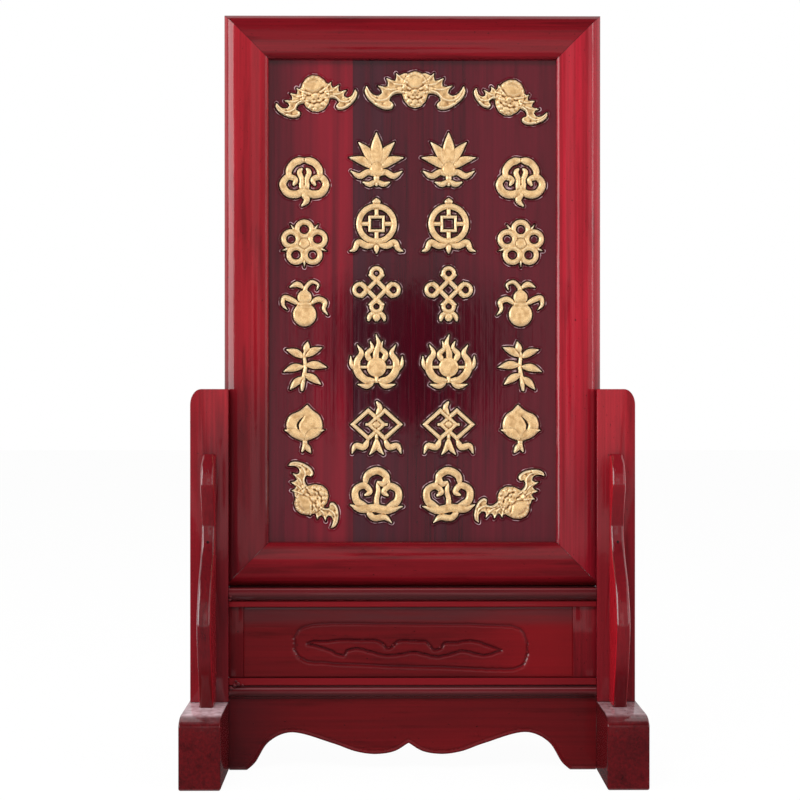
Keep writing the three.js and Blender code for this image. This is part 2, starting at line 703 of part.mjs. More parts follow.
function makePost(name, side) {
  const shape = new THREE.Shape();
  shape.moveTo(0, footHeight + glueLine);
  shape.lineTo(postWidth, footHeight + glueLine);
  shape.absellipse(postWidth - postRoundAcross, postTop - postRoundDown, postRoundAcross, postRoundDown, 0, Math.PI / 2);
  shape.lineTo(0, postTop);
  const bodyFrom = -postDepth / 2;
  const tenonX = postWidth / 2;
  const tenon = block(
    tenonX - postTenonWidth / 2, tenonX + postTenonWidth / 2, -postTenonDepth / 2, postTenonDepth / 2,
    mortiseFloor + play, footHeight + 2);
  const over = 1;
  const grooveDepth = grooveHold + grooveSideClearance;
  const groove = block(
    -over, grooveDepth, frameFrontAt(grooveHold) - grooveFaceClearance, frameBack + grooveFaceClearance,
    tabletSeat, postTop + over);
  const mortise = (z) => block(
    -over, railTenonLength + play, -railTenonDepth / 2 - play, railTenonDepth / 2 + play,
    z - railTenonHeight / 2 - play, z + railTenonHeight / 2 + play);
  const bradHoleLength = bradLength + 2 * play;
  const bradHoles = [-1, 1].map((end) => barY(
    bradRadius + play, bradHoleLength, postWidth / 2, end * (bradStart - bradLength / 2), bradHeight, 8));
  const body = join([prismY(shape, bodyFrom, -bodyFrom, 6), tenon]);
  const cutters = [groove, mortise(upperTenonAt), mortise(lowerTenonAt), ...bradHoles];
  const post = cut(body, cutters);
  piece(stand, name, side < 0 ? mirrorX(post) : post, lacquer, side * innerFace, 0, 0);
}

function makeSpandrel(name, side, end) {
  const base = footHeight + glueLine;
  const face = postDepth / 2 + glueLine;
  const curve = new THREE.SplineCurve(spandrelProfile.map(([rise, reach]) => new THREE.Vector2(
    end * (face + reach * spandrelBulge), base + rise * spandrelHeight)));
  const steps = 22;
  const points = curve.getPoints(steps).map((p) => [p.x, p.y]);
  const section = outline([[end * face, base], ...points, [end * face, base + spandrelHeight]]);
  const half = spandrelThickness / 2;
  const body = prismX(section, -half, half);
  const reach = spandrelBulge;
  const bradHole = barY(bradRadius + play, reach, 0, end * (face + reach / 2 - 1), bradHeight, 8);
  const dowelHole = barZ(dowelRadius + play, dowelLength + 2 * play, 0, end * dowelY, footHeight);
  piece(stand, name, cut(body, [bradHole, dowelHole]), lacquer, side * spandrelX, 0, 0);
}

function makeRail(name, half, bottom, height, noses) {
  const front = noses.map(([z, y]) => [-y, z]);
  const back = noses.map(([z, y]) => [y, z]).reverse();
  const section = outline([...front, ...back]);
  const shoulder = half - glueLine;
  const body = prismX(section, -shoulder, shoulder);
  const tenonLength = railTenonLength + shoulder;
  const middle = bottom + height / 2;
  const tenon = block(
    -tenonLength, tenonLength, -railTenonDepth / 2, railTenonDepth / 2,
    middle - railTenonHeight / 2, middle + railTenonHeight / 2);
  piece(stand, name, join([body, tenon]), darkLacquer);
}

// Half an edge rounded like a nose: the height and the depth of each step, from low to high
function nose(low, high, depth) {
  const steps = 5;
  const radius = (high - low) / 2;
  return Array.from({ length: steps + 1 }, (_, i) => {
    const turn = Math.PI * (i / steps - 0.5);
    return [(low + high) / 2 + radius * Math.sin(turn), depth - radius + radius * Math.cos(turn)];
  });
}

function makeRails() {
  const face = railDepth / 2;
  const fillet = railFilletDepth / 2;
  const noseBottom = tabletSeat - upperNoseHeight;
  makeRail('upper_rail', innerFace, upperRailBottom, upperRailHeight, [
    [upperRailBottom, fillet], [noseBottom - railGroove / 2, fillet], [noseBottom, fillet - railGroove],
    ...nose(noseBottom, tabletSeat, face),
  ]);
  const beadLow = lowerRailBottom + railGroove;
  const beadHigh = beadLow + lowerBeadHeight;
  const filletLow = waistBottom - lowerFilletHeight;
  makeRail('lower_rail', innerFace, lowerRailBottom, lowerRailHeight, [
    [lowerRailBottom, fillet - railGroove], ...nose(beadLow, beadHigh, face),
    [(beadHigh + filletLow) / 2, fillet - railGroove], [filletLow, fillet], [waistBottom, fillet],
  ]);
}

function makeWaist() {
  const low = waistBottom + glueLine;
  const high = upperRailBottom - glueLine;
  const left = -innerFace + glueLine;
  const right = innerFace - glueLine;
  const seamLeft = left + waistStileWidthLeft;
  const seamRight = right - waistStileWidthRight;
  const board = (x0, x1) => block(x0, x1, 0, waistThickness, low, high);
  piece(stand, 'waist_stile_left', board(left, seamLeft), lacquer, 0, -waistFront, 0);
  piece(stand, 'waist_panel', board(seamLeft + glueLine, seamRight - glueLine), lacquer, 0, -waistFront, 0);
  piece(stand, 'waist_stile_right', board(seamRight, right), lacquer, 0, -waistFront, 0);
}

function makeApron() {
  const half = innerFace - glueLine;
  const footAt = innerFace - apronFootLength;
  const top = lowerRailBottom - glueLine;
  const shape = new THREE.Shape();
  const side = (dir) => {
    const at = (x, z) => [dir * x + (Math.abs(x) < footAt + 1 ? apronShift : 0), z];
    const arch = [
      at(footAt, 0), at(footAt - 5, 4.6), at((footAt + apronPeakAt) / 2, 0.74 * apronPeak),
      at(apronPeakAt, apronPeak), at((apronPeakAt + apronTroughAt) / 2, (apronPeak + apronTrough) / 2),
      at(apronTroughAt + 12, apronTrough + 1.6), at(apronTroughAt, apronTrough), at(9, apronTrough + 1.8), at(0, apronCusp),
    ];
    return new THREE.SplineCurve(arch.map(([x, z]) => new THREE.Vector2(x, z))).getPoints(22);
  };
  const left = side(-1).map((p) => [p.x, Math.max(p.y, 0)]);
  const right = side(1).map((p) => [p.x, Math.max(p.y, 0)]).reverse().slice(1);
  const points = [[-half, 0], ...left, ...right, [half, 0], [half, top], [-half, top]];
  shape.setFromPoints(points.map(([x, z]) => new THREE.Vector2(x, z)));
  piece(stand, 'apron', prismY(shape, -apronFront, -apronFront + apronThickness), lacquer);
}

function makeFixings(sideName, side, endName, end) {
  const where = `${endName}_${sideName}`;
  const brad = barY(bradRadius, bradLength, 0, 0, 0, 8);
  piece(stand, `brad_${where}`, brad, steel, side * spandrelX, end * (bradStart - bradLength / 2), bradHeight);
  const dowel = barZ(dowelRadius, dowelLength, 0, 0, 0);
  piece(stand, `dowel_${where}`, dowel, plainWood, side * spandrelX, end * dowelY, footHeight);
}

makeFrame();
makePanel();
makeGilding();
for (const [sideName, side] of [['left', -1], ['right', 1]]) {
  makeFoot(`foot_${sideName}`, side);
  makePost(`post_${sideName}`, side);
  for (const [endName, end] of [['front', -1], ['rear', 1]]) {
    makeSpandrel(`spandrel_${endName}_${sideName}`, side, end);
    makeFixings(sideName, side, endName, end);
  }
}
makeRails();
makeWaist();
makeApron();

const object = new THREE.Group();
object.add(stand, tablet);
export default object;
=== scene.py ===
"""Ancestor tablet: lacquered wood with gilt relief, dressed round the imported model. Sizes are in metres."""
import math

import bmesh
import bpy
import numpy as np
from mathutils import Matrix, Vector
from mathutils.geometry import tessellate_polygon


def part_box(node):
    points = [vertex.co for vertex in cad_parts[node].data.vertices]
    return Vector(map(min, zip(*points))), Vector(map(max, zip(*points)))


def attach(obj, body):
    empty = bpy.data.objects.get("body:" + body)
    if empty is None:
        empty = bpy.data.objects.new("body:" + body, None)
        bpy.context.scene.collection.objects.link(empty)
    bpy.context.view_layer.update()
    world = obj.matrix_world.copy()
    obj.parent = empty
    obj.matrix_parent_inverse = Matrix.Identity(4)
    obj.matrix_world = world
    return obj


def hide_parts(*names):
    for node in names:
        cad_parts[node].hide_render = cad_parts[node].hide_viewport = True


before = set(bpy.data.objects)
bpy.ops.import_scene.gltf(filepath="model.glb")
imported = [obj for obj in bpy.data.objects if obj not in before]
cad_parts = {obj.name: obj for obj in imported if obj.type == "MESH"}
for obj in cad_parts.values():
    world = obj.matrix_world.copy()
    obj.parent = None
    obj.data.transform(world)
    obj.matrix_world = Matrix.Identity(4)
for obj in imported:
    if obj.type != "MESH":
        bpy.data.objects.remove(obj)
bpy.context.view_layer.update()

MM = 0.001
SIDES = ("left", "right")
scene = bpy.context.scene


# The camera and the room

CAMERA_AT = (-0.01737, -1.1191, 0.2404)
CAMERA_YAW = 0.0084
CAMERA_PITCH = -0.005
CAMERA_SENSOR = 36.0
CAMERA_LENS = 78.54
WHITE = (1.0, 1.0, 1.0, 1.0)
WORLD_TINT = (1.0, 0.98, 0.96, 1.0)
WORLD_LIGHT = 0.5
FLOOR_REACH = 6.0
FLOOR_COLOUR = (0.9, 0.9, 0.9, 1.0)
FLOOR_WHITE_SHARE = 0.965
ROOM_HALF = 2.2
ROOM_FRONT = -2.4
ROOM_MIDDLE = -1.3
ROOM_BACK = 0.3
ROOM_HIGH = 2.0
LAMPS_AIM = (0.0, 0.0, 0.3)


def make_camera():
    data = bpy.data.cameras.new("camera")
    data.sensor_width = CAMERA_SENSOR
    data.lens = CAMERA_LENS
    camera = bpy.data.objects.new("camera", data)
    scene.collection.objects.link(camera)
    camera.location = CAMERA_AT
    level = math.cos(CAMERA_PITCH)
    look = Vector((math.sin(CAMERA_YAW) * level, math.cos(CAMERA_YAW) * level, math.sin(CAMERA_PITCH)))
    camera.rotation_euler = look.to_track_quat("-Z", "Y").to_euler()
    scene.camera = camera


def set_sockets(tree, node, sockets):
    """Sets each named or numbered socket to a value, or links it to another socket."""
    for name, value in sockets.items():
        if isinstance(value, bpy.types.NodeSocket):
            tree.links.new(value, node.inputs[name])
        else:
            node.inputs[name].default_value = value


def add_node(tree, kind, sockets=None, **settings):
    node = tree.nodes.new("ShaderNode" + kind)
    for name, value in settings.items():
        setattr(node, name, value)
    set_sockets(tree, node, sockets or {})
    return node


def maths(tree, operation, *values, **settings):
    return add_node(tree, "Math", dict(enumerate(values)), operation=operation, **settings).outputs[0]


def empty_tree(owner):
    owner.use_nodes = True
    owner.node_tree.nodes.clear()
    return owner.node_tree


def seen_or_reflected(tree):
    """1 for the rays that show the background: straight from the camera, off gloss or through glass."""
    path = add_node(tree, "LightPath").outputs
    seen = maths(tree, "ADD", path["Is Camera Ray"], path["Is Glossy Ray"])
    return maths(tree, "ADD", seen, path["Is Transmission Ray"], use_clamp=True)


def make_world():
    scene.world = bpy.data.worlds.new("studio")
    tree = empty_tree(scene.world)
    soft = add_node(tree, "Background", {"Color": WORLD_TINT, "Strength": WORLD_LIGHT})
    white = add_node(tree, "Background", {"Color": WHITE, "Strength": 1.0})
    seen = seen_or_reflected(tree)
    mix = add_node(tree, "MixShader", {0: seen, 1: soft.outputs[0], 2: white.outputs[0]})
    add_node(tree, "OutputWorld", {"Surface": mix.outputs[0]})


def stage_sheet(name, corners, material):
    mesh = bpy.data.meshes.new(name)
    mesh.from_pydata(corners, [], [tuple(range(len(corners)))])
    mesh.materials.append(material)
    sheet = bpy.data.objects.new(name, mesh)
    scene.collection.objects.link(sheet)
    return sheet


def level_card(half, low_y, high_y, z):
    return [(-half, low_y, z), (half, low_y, z), (half, high_y, z), (-half, high_y, z)]


def front_card(low_x, high_x, high_z, y):
    return [(low_x, y, 0), (high_x, y, 0), (high_x, y, high_z), (low_x, y, high_z)]


def side_card(x, low_y, high_y, high_z):
    return [(x, high_y, 0), (x, low_y, 0), (x, low_y, high_z), (x, high_y, high_z)]


def make_floor():
    material = bpy.data.materials.new("floor_white")
    tree = empty_tree(material)
    matt = add_node(tree, "BsdfDiffuse", {"Color": FLOOR_COLOUR})
    white = add_node(tree, "Emission", {"Color": WHITE, "Strength": 1.0})
    share = maths(tree, "MULTIPLY", seen_or_reflected(tree), FLOOR_WHITE_SHARE)
    mix = add_node(tree, "MixShader", {0: share, 1: matt.outputs[0], 2: white.outputs[0]})
    add_node(tree, "OutputMaterial", {"Surface": mix.outputs[0]})
    stage_sheet("floor", level_card(FLOOR_REACH, -FLOOR_REACH, FLOOR_REACH, 0), material)


# Grey cards as photographers use, each with its shade: gloss shows them, and nothing else does

CARDS = {
    "front_flag": (0.26, front_card(-ROOM_HALF, ROOM_HALF, ROOM_HIGH, ROOM_FRONT)),
    "left_flag": (0.3, side_card(-ROOM_HALF, ROOM_FRONT, ROOM_BACK, ROOM_HIGH)),
    "right_flag": (0.75, side_card(ROOM_HALF, ROOM_FRONT, ROOM_BACK, ROOM_HIGH)),
    "right_strip": (4.0, side_card(ROOM_HALF - 0.1, -1.15, -0.95, 1.1)),
    "top_flag": (0.03, level_card(ROOM_HALF, ROOM_FRONT, ROOM_BACK, ROOM_HIGH)),
    "floor_near": (0.1, level_card(ROOM_HALF, ROOM_MIDDLE, ROOM_BACK, 0.001)),
    "floor_far": (0.45, level_card(ROOM_HALF, ROOM_FRONT, ROOM_MIDDLE, 0.001)),
    "rear_flag": (0.35, front_card(-ROOM_HALF, ROOM_HALF, ROOM_HIGH, -ROOM_FRONT)),
    "haze_flag": (0.55, front_card(-0.42, 0.5, 1.1, -2.36)),
    "dark_flag": (0.03, [(x, -2.33, z) for x, z in (
        (-0.1, 0.17), (0.02, 0.15), (0.17, 0.19), (0.2, 0.33), (0.15, 0.42), (0.1, 0.45), (0.02, 0.44),
        (-0.07, 0.46), (-0.12, 0.38))]),
}

# Each lamp: where it stands, its width and height, its watts, and whether gloss shows it

LAMPS = {
    "key_front": ((-0.45, -1.5, 1.65), 1.0, 0.7, 33.0, False),
    "side_left": ((-1.5, -0.45, 0.45), 1.0, 1.5, 19.0, True),
    "side_right": ((1.5, -0.6, 0.7), 1.9, 1.9, 24.0, False),
}


def make_cards():
    for name, (shade, corners) in CARDS.items():
        material = bpy.data.materials.new(name)
        tree = empty_tree(material)
        glow = add_node(tree, "Emission", {"Color": (shade, shade, shade, 1.0), "Strength": 1.0})
        add_node(tree, "OutputMaterial", {"Surface": glow.outputs[0]})
        card = stage_sheet(name, corners, material)
        card.visible_camera = False
        card.visible_diffuse = False
        card.visible_transmission = False
        card.visible_shadow = False


def make_lamps():
    for name, (at, width, height, watts, in_gloss) in LAMPS.items():
        data = bpy.data.lights.new(name, "AREA")
        data.shape = "RECTANGLE"
        data.size = width
        data.size_y = height
        data.energy = watts
        lamp = bpy.data.objects.new(name, data)
        scene.collection.objects.link(lamp)
        lamp.location = at
        lamp.rotation_euler = (Vector(LAMPS_AIM) - Vector(at)).to_track_quat("-Z", "Y").to_euler()
        lamp.visible_glossy = in_gloss


# Streaks: how many a metre holds across and along the grain, their detail, and the noise levels for 0 and 1

FINE_STREAKS = (620.0, 9.0, 4.0, 0.3, 0.7)
BROAD_STREAKS = (36.0, 4.0, 3.0, 0.3, 0.7)
SMUDGES = (150.0, 16.0, 3.0, 0.56, 0.72)
SPECKS = (900.0, 500.0, 2.0, 0.69, 0.77)
RIPPLES = (130.0, 60.0, 3.0, 0.2, 0.8)
STAVE_STREAKS = (130.0, 3.0, 2.0, 0.35, 0.6)
SHEEN_PATCHES = (210.0, 150.0, 4.0, 0.3, 0.62)
BAND_STREAKS = (160.0, 12.0, 3.0, 0.2, 0.6)
PORES = (700.0, 40.0, 4.0, 0.3, 0.7)
STREAK_SHIFT = (1.0, 0.37, 0.71)

# Spots, the same all round: how many a metre holds, their detail, and the two noise levels

GOLD_CLOUDS = (260.0, 4.0, 0.34, 0.56)
GOLD_GRAIN = (1400.0, 2.0, 0.2, 0.8)
STEEL_CLOUDS = (900.0, 2.0, 0.3, 0.7)
CREST_SPOTS = (190.0, 3.0, 0.5, 0.64)

# How far a surface has to face up or aside, and how far it has to bend, for none and all of a colour

TOE_UP = (0.55, 0.95)
FLANK_ASIDE = (0.75, 0.95)
NOT_DOWN = (-0.35, 0.45)
RAIL_UP = (0.72, 0.95)
GOLD_CREST = (0.505, 0.56)
GOLD_DIP = (0.495, 0.44)

# Gloss

LACQUER_ROUGHNESS = (0.42, 0.3)
GOLD_ROUGHNESS = (0.38, 0.26)
COAT_ROUGHNESS = 0.07
COAT_IOR = 1.5
LOW_COAT_IOR = 1.36
FOOT_COAT_IOR = 1.35
SPANDREL_COAT_IOR = 1.7
GOLD_METAL = 0.45
BUMP_STRENGTH = 0.1
LACQUER_BUMP = 0.8 * MM
GOLD_BUMP = 0.2 * MM
FINE_BUMP_SHARE = 0.3

# Places on the object, in millimetres

PANEL_FACE = -5.0
WAIST_FACE = -12.0
PANEL_CUT = (0.1, 0.55)
PANEL_CREST = (0.16, 0.32)
WAIST_CUT = (0.35, 1.2)
CUT_LIMIT = 2.6
CUT_LIMIT_EDGE = 3.1
MIDDLE = (-20.0, 20.0)
SHEEN_EDGE = (-65.0, -57.0)
PANEL_RISE = (250.0, 430.0)
# The painted dark reflection on the panel: its middle, then where it fades out and where it is full, and how
# it is squeezed
DARK_REFLECTION_AT = Vector((8.0, 0.0, 276.0))
DARK_REFLECTION_EDGE = (84.0, 48.0)
DARK_REFLECTION_SQUEEZE = Vector((1.0, 0.0, 1.5))
SPANDREL_FOOT = (60.0, 78.0)
SPANDREL_HEAD = (150.0, 178.0)
APRON_LEFT = (-62.0, -114.0)
WAIST_RIGHT = (20.0, 90.0)
WAIST_BAND = (90.0, 97.0)
CLEAR_EDGE = 3.0
MITRE_SEAM = 0.45
RAIL_FILLET = 14.5
RAIL_FILLET_EDGE = (15.0, 14.7)
RAIL_SHADE_LINE = (14.2, 13.8)
BRAD_HOLE = (1.0, 0.7)

# Shares of what is laid over the first colour

SMUDGE_SHARE = 0.5
CLEAR_SHARE = 0.65
SEAM_SHARE = 0.8
DARK_REFLECTION_SHARE = 0.55
PANEL_CUT_SHARE = 0.85
SPANDREL_RIGHT_SHARE = 0.18
SPANDREL_HEAD_SHARE = 0.2
RAIL_HIGHLIGHT_SHARE = 0.7
APRON_LEFT_SHARE = 0.55
WAIST_RIGHT_SHARE = 0.35
WAIST_CUT_SHARE = 0.6

# Dark colour of the mitre seams and the apron's left end, and of the painted shade towards the foot and in
# the waist's cuts
STAIN_AND_SHADE = (0.030, 0.004, 0.006, 1.0)
DEEP_RED = (0.120, 0.004, 0.007, 1.0)
BRIGHT_RED = (0.290, 0.008, 0.016, 1.0)
# A painted lit copy of BRIGHT_RED for the right stile, standing in for the stronger light from the right
RIGHT_LIT_RED = (0.380, 0.010, 0.024, 1.0)
SPANDREL_DEEP = (0.042, 0.003, 0.005, 1.0)
SPANDREL_BRIGHT = (0.120, 0.004, 0.007, 1.0)
SPANDREL_FOOT_LEFT = (0.072, 0.002, 0.003, 1.0)
SPANDREL_FOOT_RIGHT = (0.070, 0.002, 0.004, 1.0)
FLANK_LEFT = (0.200, 0.006, 0.011, 1.0)
FLANK_RIGHT = (0.340, 0.006, 0.013, 1.0)
LEVEL_DEEP = (0.070, 0.003, 0.005, 1.0)
LEVEL_BRIGHT = (0.180, 0.005, 0.010, 1.0)
LOW_DEEP = (0.050, 0.003, 0.004, 1.0)
LOW_BRIGHT = (0.115, 0.004, 0.006, 1.0)
WAIST_RED = (0.250, 0.005, 0.009, 1.0)
BAND_GREY = (0.040, 0.017, 0.019, 1.0)
END_DEEP = (0.034, 0.003, 0.004, 1.0)
END_BRIGHT = (0.095, 0.004, 0.006, 1.0)
# Rail mouldings: painted shade, the two lacquer colours, and a painted highlight for their upward faces
RAIL_SHADE = (0.042, 0.009, 0.010, 1.0)
RAIL_DEEP = (0.060, 0.007, 0.009, 1.0)
RAIL_BRIGHT = (0.120, 0.010, 0.014, 1.0)
RAIL_TOP_HIGHLIGHT = (0.240, 0.120, 0.125, 1.0)
FILLET_RED = (0.135, 0.005, 0.008, 1.0)
PANEL_DEEP = (0.026, 0.001, 0.004, 1.0)
PANEL_BRIGHT = (0.075, 0.002, 0.008, 1.0)
PANEL_BLACK = (0.012, 0.001, 0.002, 1.0)
PANEL_STAVE = (0.200, 0.003, 0.012, 1.0)
PANEL_GREY = (0.030, 0.007, 0.013, 1.0)
PANEL_WARM = (0.100, 0.003, 0.010, 1.0)
# Painted pale sheen: a reflection on the toes' upward faces and a highlight on the lacquer crests of the
# panel
PAINTED_SHEEN = (0.64, 0.46, 0.50, 1.0)
GOLD = (0.86, 0.57, 0.28, 1.0)
GOLD_WORN = (0.58, 0.335, 0.14, 1.0)
# Painted highlight and painted shade of the gilt relief
GOLD_PAINTED_HIGHLIGHT = (1.0, 0.86, 0.58, 1.0)
GOLD_PAINTED_SHADE = (0.13, 0.050, 0.016, 1.0)
STEEL = (0.30, 0.29, 0.28, 1.0)
WOOD_PORE = (0.26, 0.14, 0.07, 1.0)
WOOD = (0.46, 0.29, 0.16, 1.0)

# Staves of the panel: where each starts, is full, ends being full and ends, then its colour and share

STAVES = (
    (-99.0, -98.0, -53.0, -52.5, PANEL_WARM, 0.4),
    (-88.0, -42.0, -38.4, -37.8, PANEL_STAVE, 0.9),
    (-38.4, -37.8, -22.0, 2.0, PANEL_GREY, 0.6),
    (12.0, 15.0, 19.0, 23.0, PANEL_GREY, 0.4),
    (30.0, 46.0, 98.0, 99.0, PANEL_WARM, 0.4),
)


def new_material(name):
    material = bpy.data.materials.new(name)
    tree = empty_tree(material)
    surface = add_node(tree, "BsdfPrincipled")
    add_node(tree, "OutputMaterial", {"Surface": surface.outputs[0]})
    return material, tree, surface


def dimmed(colour, share):
    return tuple(part * share for part in colour[:3]) + (1.0,)


def where(tree):
    return add_node(tree, "TexCoord").outputs["Object"]


def parts(tree, vector):
    return add_node(tree, "SeparateXYZ", {0: vector}).outputs


def facing(tree):
    return parts(tree, add_node(tree, "NewGeometry").outputs["Normal"])


def distance(tree, first, second):
    span = add_node(tree, "VectorMath", {0: first, 1: second}, operation="DISTANCE")
    return span.outputs["Value"]


def mix_colours(tree, share, first, second):
    return add_node(tree, "Mix", {0: share, 6: first, 7: second}, data_type="RGBA").outputs[2]


def mix_values(tree, share, first, second):
    return add_node(tree, "Mix", {0: share, 2: first, 3: second}, data_type="FLOAT").outputs[0]


def ramp(tree, value, low=0.0, high=1.0, start=0.0, end=1.0, **settings):
    """Brings a value from between low and high to between start and end, and holds it there."""
    return add_node(tree, "MapRange", {"Value": value, "From Min": low, "From Max": high, "To Min": start,
                                       "To Max": end}, **settings).outputs[0]


def between(tree, axis, low, high):
    """0…1 between two places along an axis of the object, in millimetres."""
    value = parts(tree, where(tree))[axis]
    return ramp(tree, value, low * MM, high * MM, interpolation_type="SMOOTHSTEP")


def shade_in_cuts(tree, face, cut):
    """0…1 with the depth of a cut below a front face, and 0 further in, so that the back stays clear: the
    mask of the painted shade in the cuts.
    """
    front = between(tree, "Y", face + CUT_LIMIT_EDGE, face + CUT_LIMIT)
    return maths(tree, "MULTIPLY", between(tree, "Y", face + cut[0], face + cut[1]), front)


def spots(tree, vector, scale, detail, low, high):
    """A noise brought to 0…1 between two of its levels."""
    grain = add_node(tree, "TexNoise", {"Vector": vector, "Scale": scale, "Detail": detail})
    return ramp(tree, grain.outputs[0], low, high)


def streaks(tree, grain, pattern, offset):
    """Spots drawn out along the grain."""
    across, length, detail, low, high = pattern
    scale = [length if axis == grain else across for axis in "XYZ"]
    shift = [offset * part for part in STREAK_SHIFT]
    moved = add_node(tree, "Mapping", {"Vector": where(tree), "Scale": scale, "Location": shift})
    return spots(tree, moved.outputs[0], 1.0, detail, low, high)


def bump(tree, height, deepest):
    sockets = {"Height": height, "Strength": BUMP_STRENGTH, "Distance": deepest}
    return add_node(tree, "Bump", sockets).outputs[0]


class Lacquer:
    """Transparent red lacquer over wood: fine and broad streaks of the grain under an uneven glossy coat.
    More colours are laid over it by shares, and finished() gives the material."""

    def __init__(self, name, grain, deep, bright, offset=0.0, fine_share=0.4,
                 coat_roughness=COAT_ROUGHNESS, coat_ior=COAT_IOR):
        self.material, tree, self.surface = new_material(name)
        self.tree = tree
        fine = streaks(tree, grain, FINE_STREAKS, offset)
        broad = streaks(tree, grain, BROAD_STREAKS, offset + 3.1)
        self.colour = mix_colours(tree, mix_values(tree, fine_share, broad, fine), deep, bright)
        self.tint(streaks(tree, grain, SMUDGES, offset + 1.3), dimmed(deep, 0.45), SMUDGE_SHARE)
        self.tint(streaks(tree, grain, SPECKS, offset), dimmed(deep, 0.35))
        ripple = streaks(tree, grain, RIPPLES, offset)
        uneven = bump(tree, mix_values(tree, FINE_BUMP_SHARE, ripple, fine), LACQUER_BUMP)
        set_sockets(tree, self.surface, {
            "Roughness": ramp(tree, fine, 0.0, 1.0, *LACQUER_ROUGHNESS), "Specular IOR Level": 0.0,
            "Coat Weight": 1.0, "Coat Roughness": coat_roughness, "Coat IOR": coat_ior,
            "Normal": uneven, "Coat Normal": uneven})

    def tint(self, share, colour, strength=1.0):
        """Lays a colour over the one so far, by a share and perhaps a number or socket that weakens it."""
        if strength != 1.0:
            share = maths(self.tree, "MULTIPLY", share, strength)
        self.colour = mix_colours(self.tree, share, self.colour, colour)

    def fade_from(self, share, colour):
        self.colour = mix_colours(self.tree, share, colour, self.colour)

    def shaded_below(self, low, high, share, clear_x=None):
        """Painted shade towards the foot, mixed with the dark colour: from a height upwards the colour
        clears, and also outside clear_x.
        """
        rise = between(self.tree, "Z", low, high)
        if clear_x:
            outside = between(self.tree, "X", clear_x + math.copysign(CLEAR_EDGE, -clear_x), clear_x)
            rise = maths(self.tree, "MAXIMUM", rise, maths(self.tree, "MULTIPLY", outside, CLEAR_SHARE))
        self.fade_from(rise, mix_colours(self.tree, share, self.colour, STAIN_AND_SHADE))
        return self

    def seam(self):
        """The dark line of the glued mitre, where rail and stile are equally deep in the frame's corner."""
        tree = self.tree
        low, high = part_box("frame_left_stile")
        x, _, z = parts(tree, where(tree))
        in_side = maths(tree, "SUBTRACT", -low.x, maths(tree, "ABSOLUTE", x))
        in_end = maths(tree, "MINIMUM", maths(tree, "SUBTRACT", high.z, z), maths(tree, "SUBTRACT", z, low.z))
        gap = maths(tree, "ABSOLUTE", maths(tree, "SUBTRACT", in_side, in_end))
        self.tint(ramp(tree, gap, MITRE_SEAM * MM, 0.0, end=SEAM_SHARE), STAIN_AND_SHADE)
        return self

    def finished(self):
        set_sockets(self.tree, self.surface, {"Base Color": self.colour})
        return self.material


def gilding():
    """Gold paint, satin and a little uneven, with a painted highlight on its crests and brown painted shade
    in its hollows.
    """
    material, tree, surface = new_material("gilt")
    clouds = spots(tree, where(tree), *GOLD_CLOUDS)
    bend = add_node(tree, "NewGeometry").outputs["Pointiness"]
    colour = mix_colours(tree, clouds, GOLD_WORN, GOLD)
    # Painted highlight on the crests and painted shade in the hollows, by how sharply the surface bends.
    colour = mix_colours(tree, ramp(tree, bend, *GOLD_CREST), colour, GOLD_PAINTED_HIGHLIGHT)
    colour = mix_colours(tree, ramp(tree, bend, *GOLD_DIP), colour, GOLD_PAINTED_SHADE)
    set_sockets(tree, surface, {
        "Base Color": colour, "Metallic": GOLD_METAL,
        "Roughness": ramp(tree, clouds, 0.0, 1.0, *GOLD_ROUGHNESS),
        "Normal": bump(tree, spots(tree, where(tree), *GOLD_GRAIN), GOLD_BUMP)})
    return material


def bare_steel():
    material, tree, surface = new_material("steel")
    colour = mix_colours(tree, spots(tree, where(tree), *STEEL_CLOUDS), dimmed(STEEL, 0.7), STEEL)
    set_sockets(tree, surface, {"Base Color": colour, "Metallic": 1.0, "Roughness": 0.4})
    return material


def bare_wood():
    material, tree, surface = new_material("plain_wood")
    colour = mix_colours(tree, streaks(tree, "Y", PORES, 0.0), WOOD_PORE, WOOD)
    set_sockets(tree, surface, {"Base Color": colour, "Roughness": 0.6})
    return material


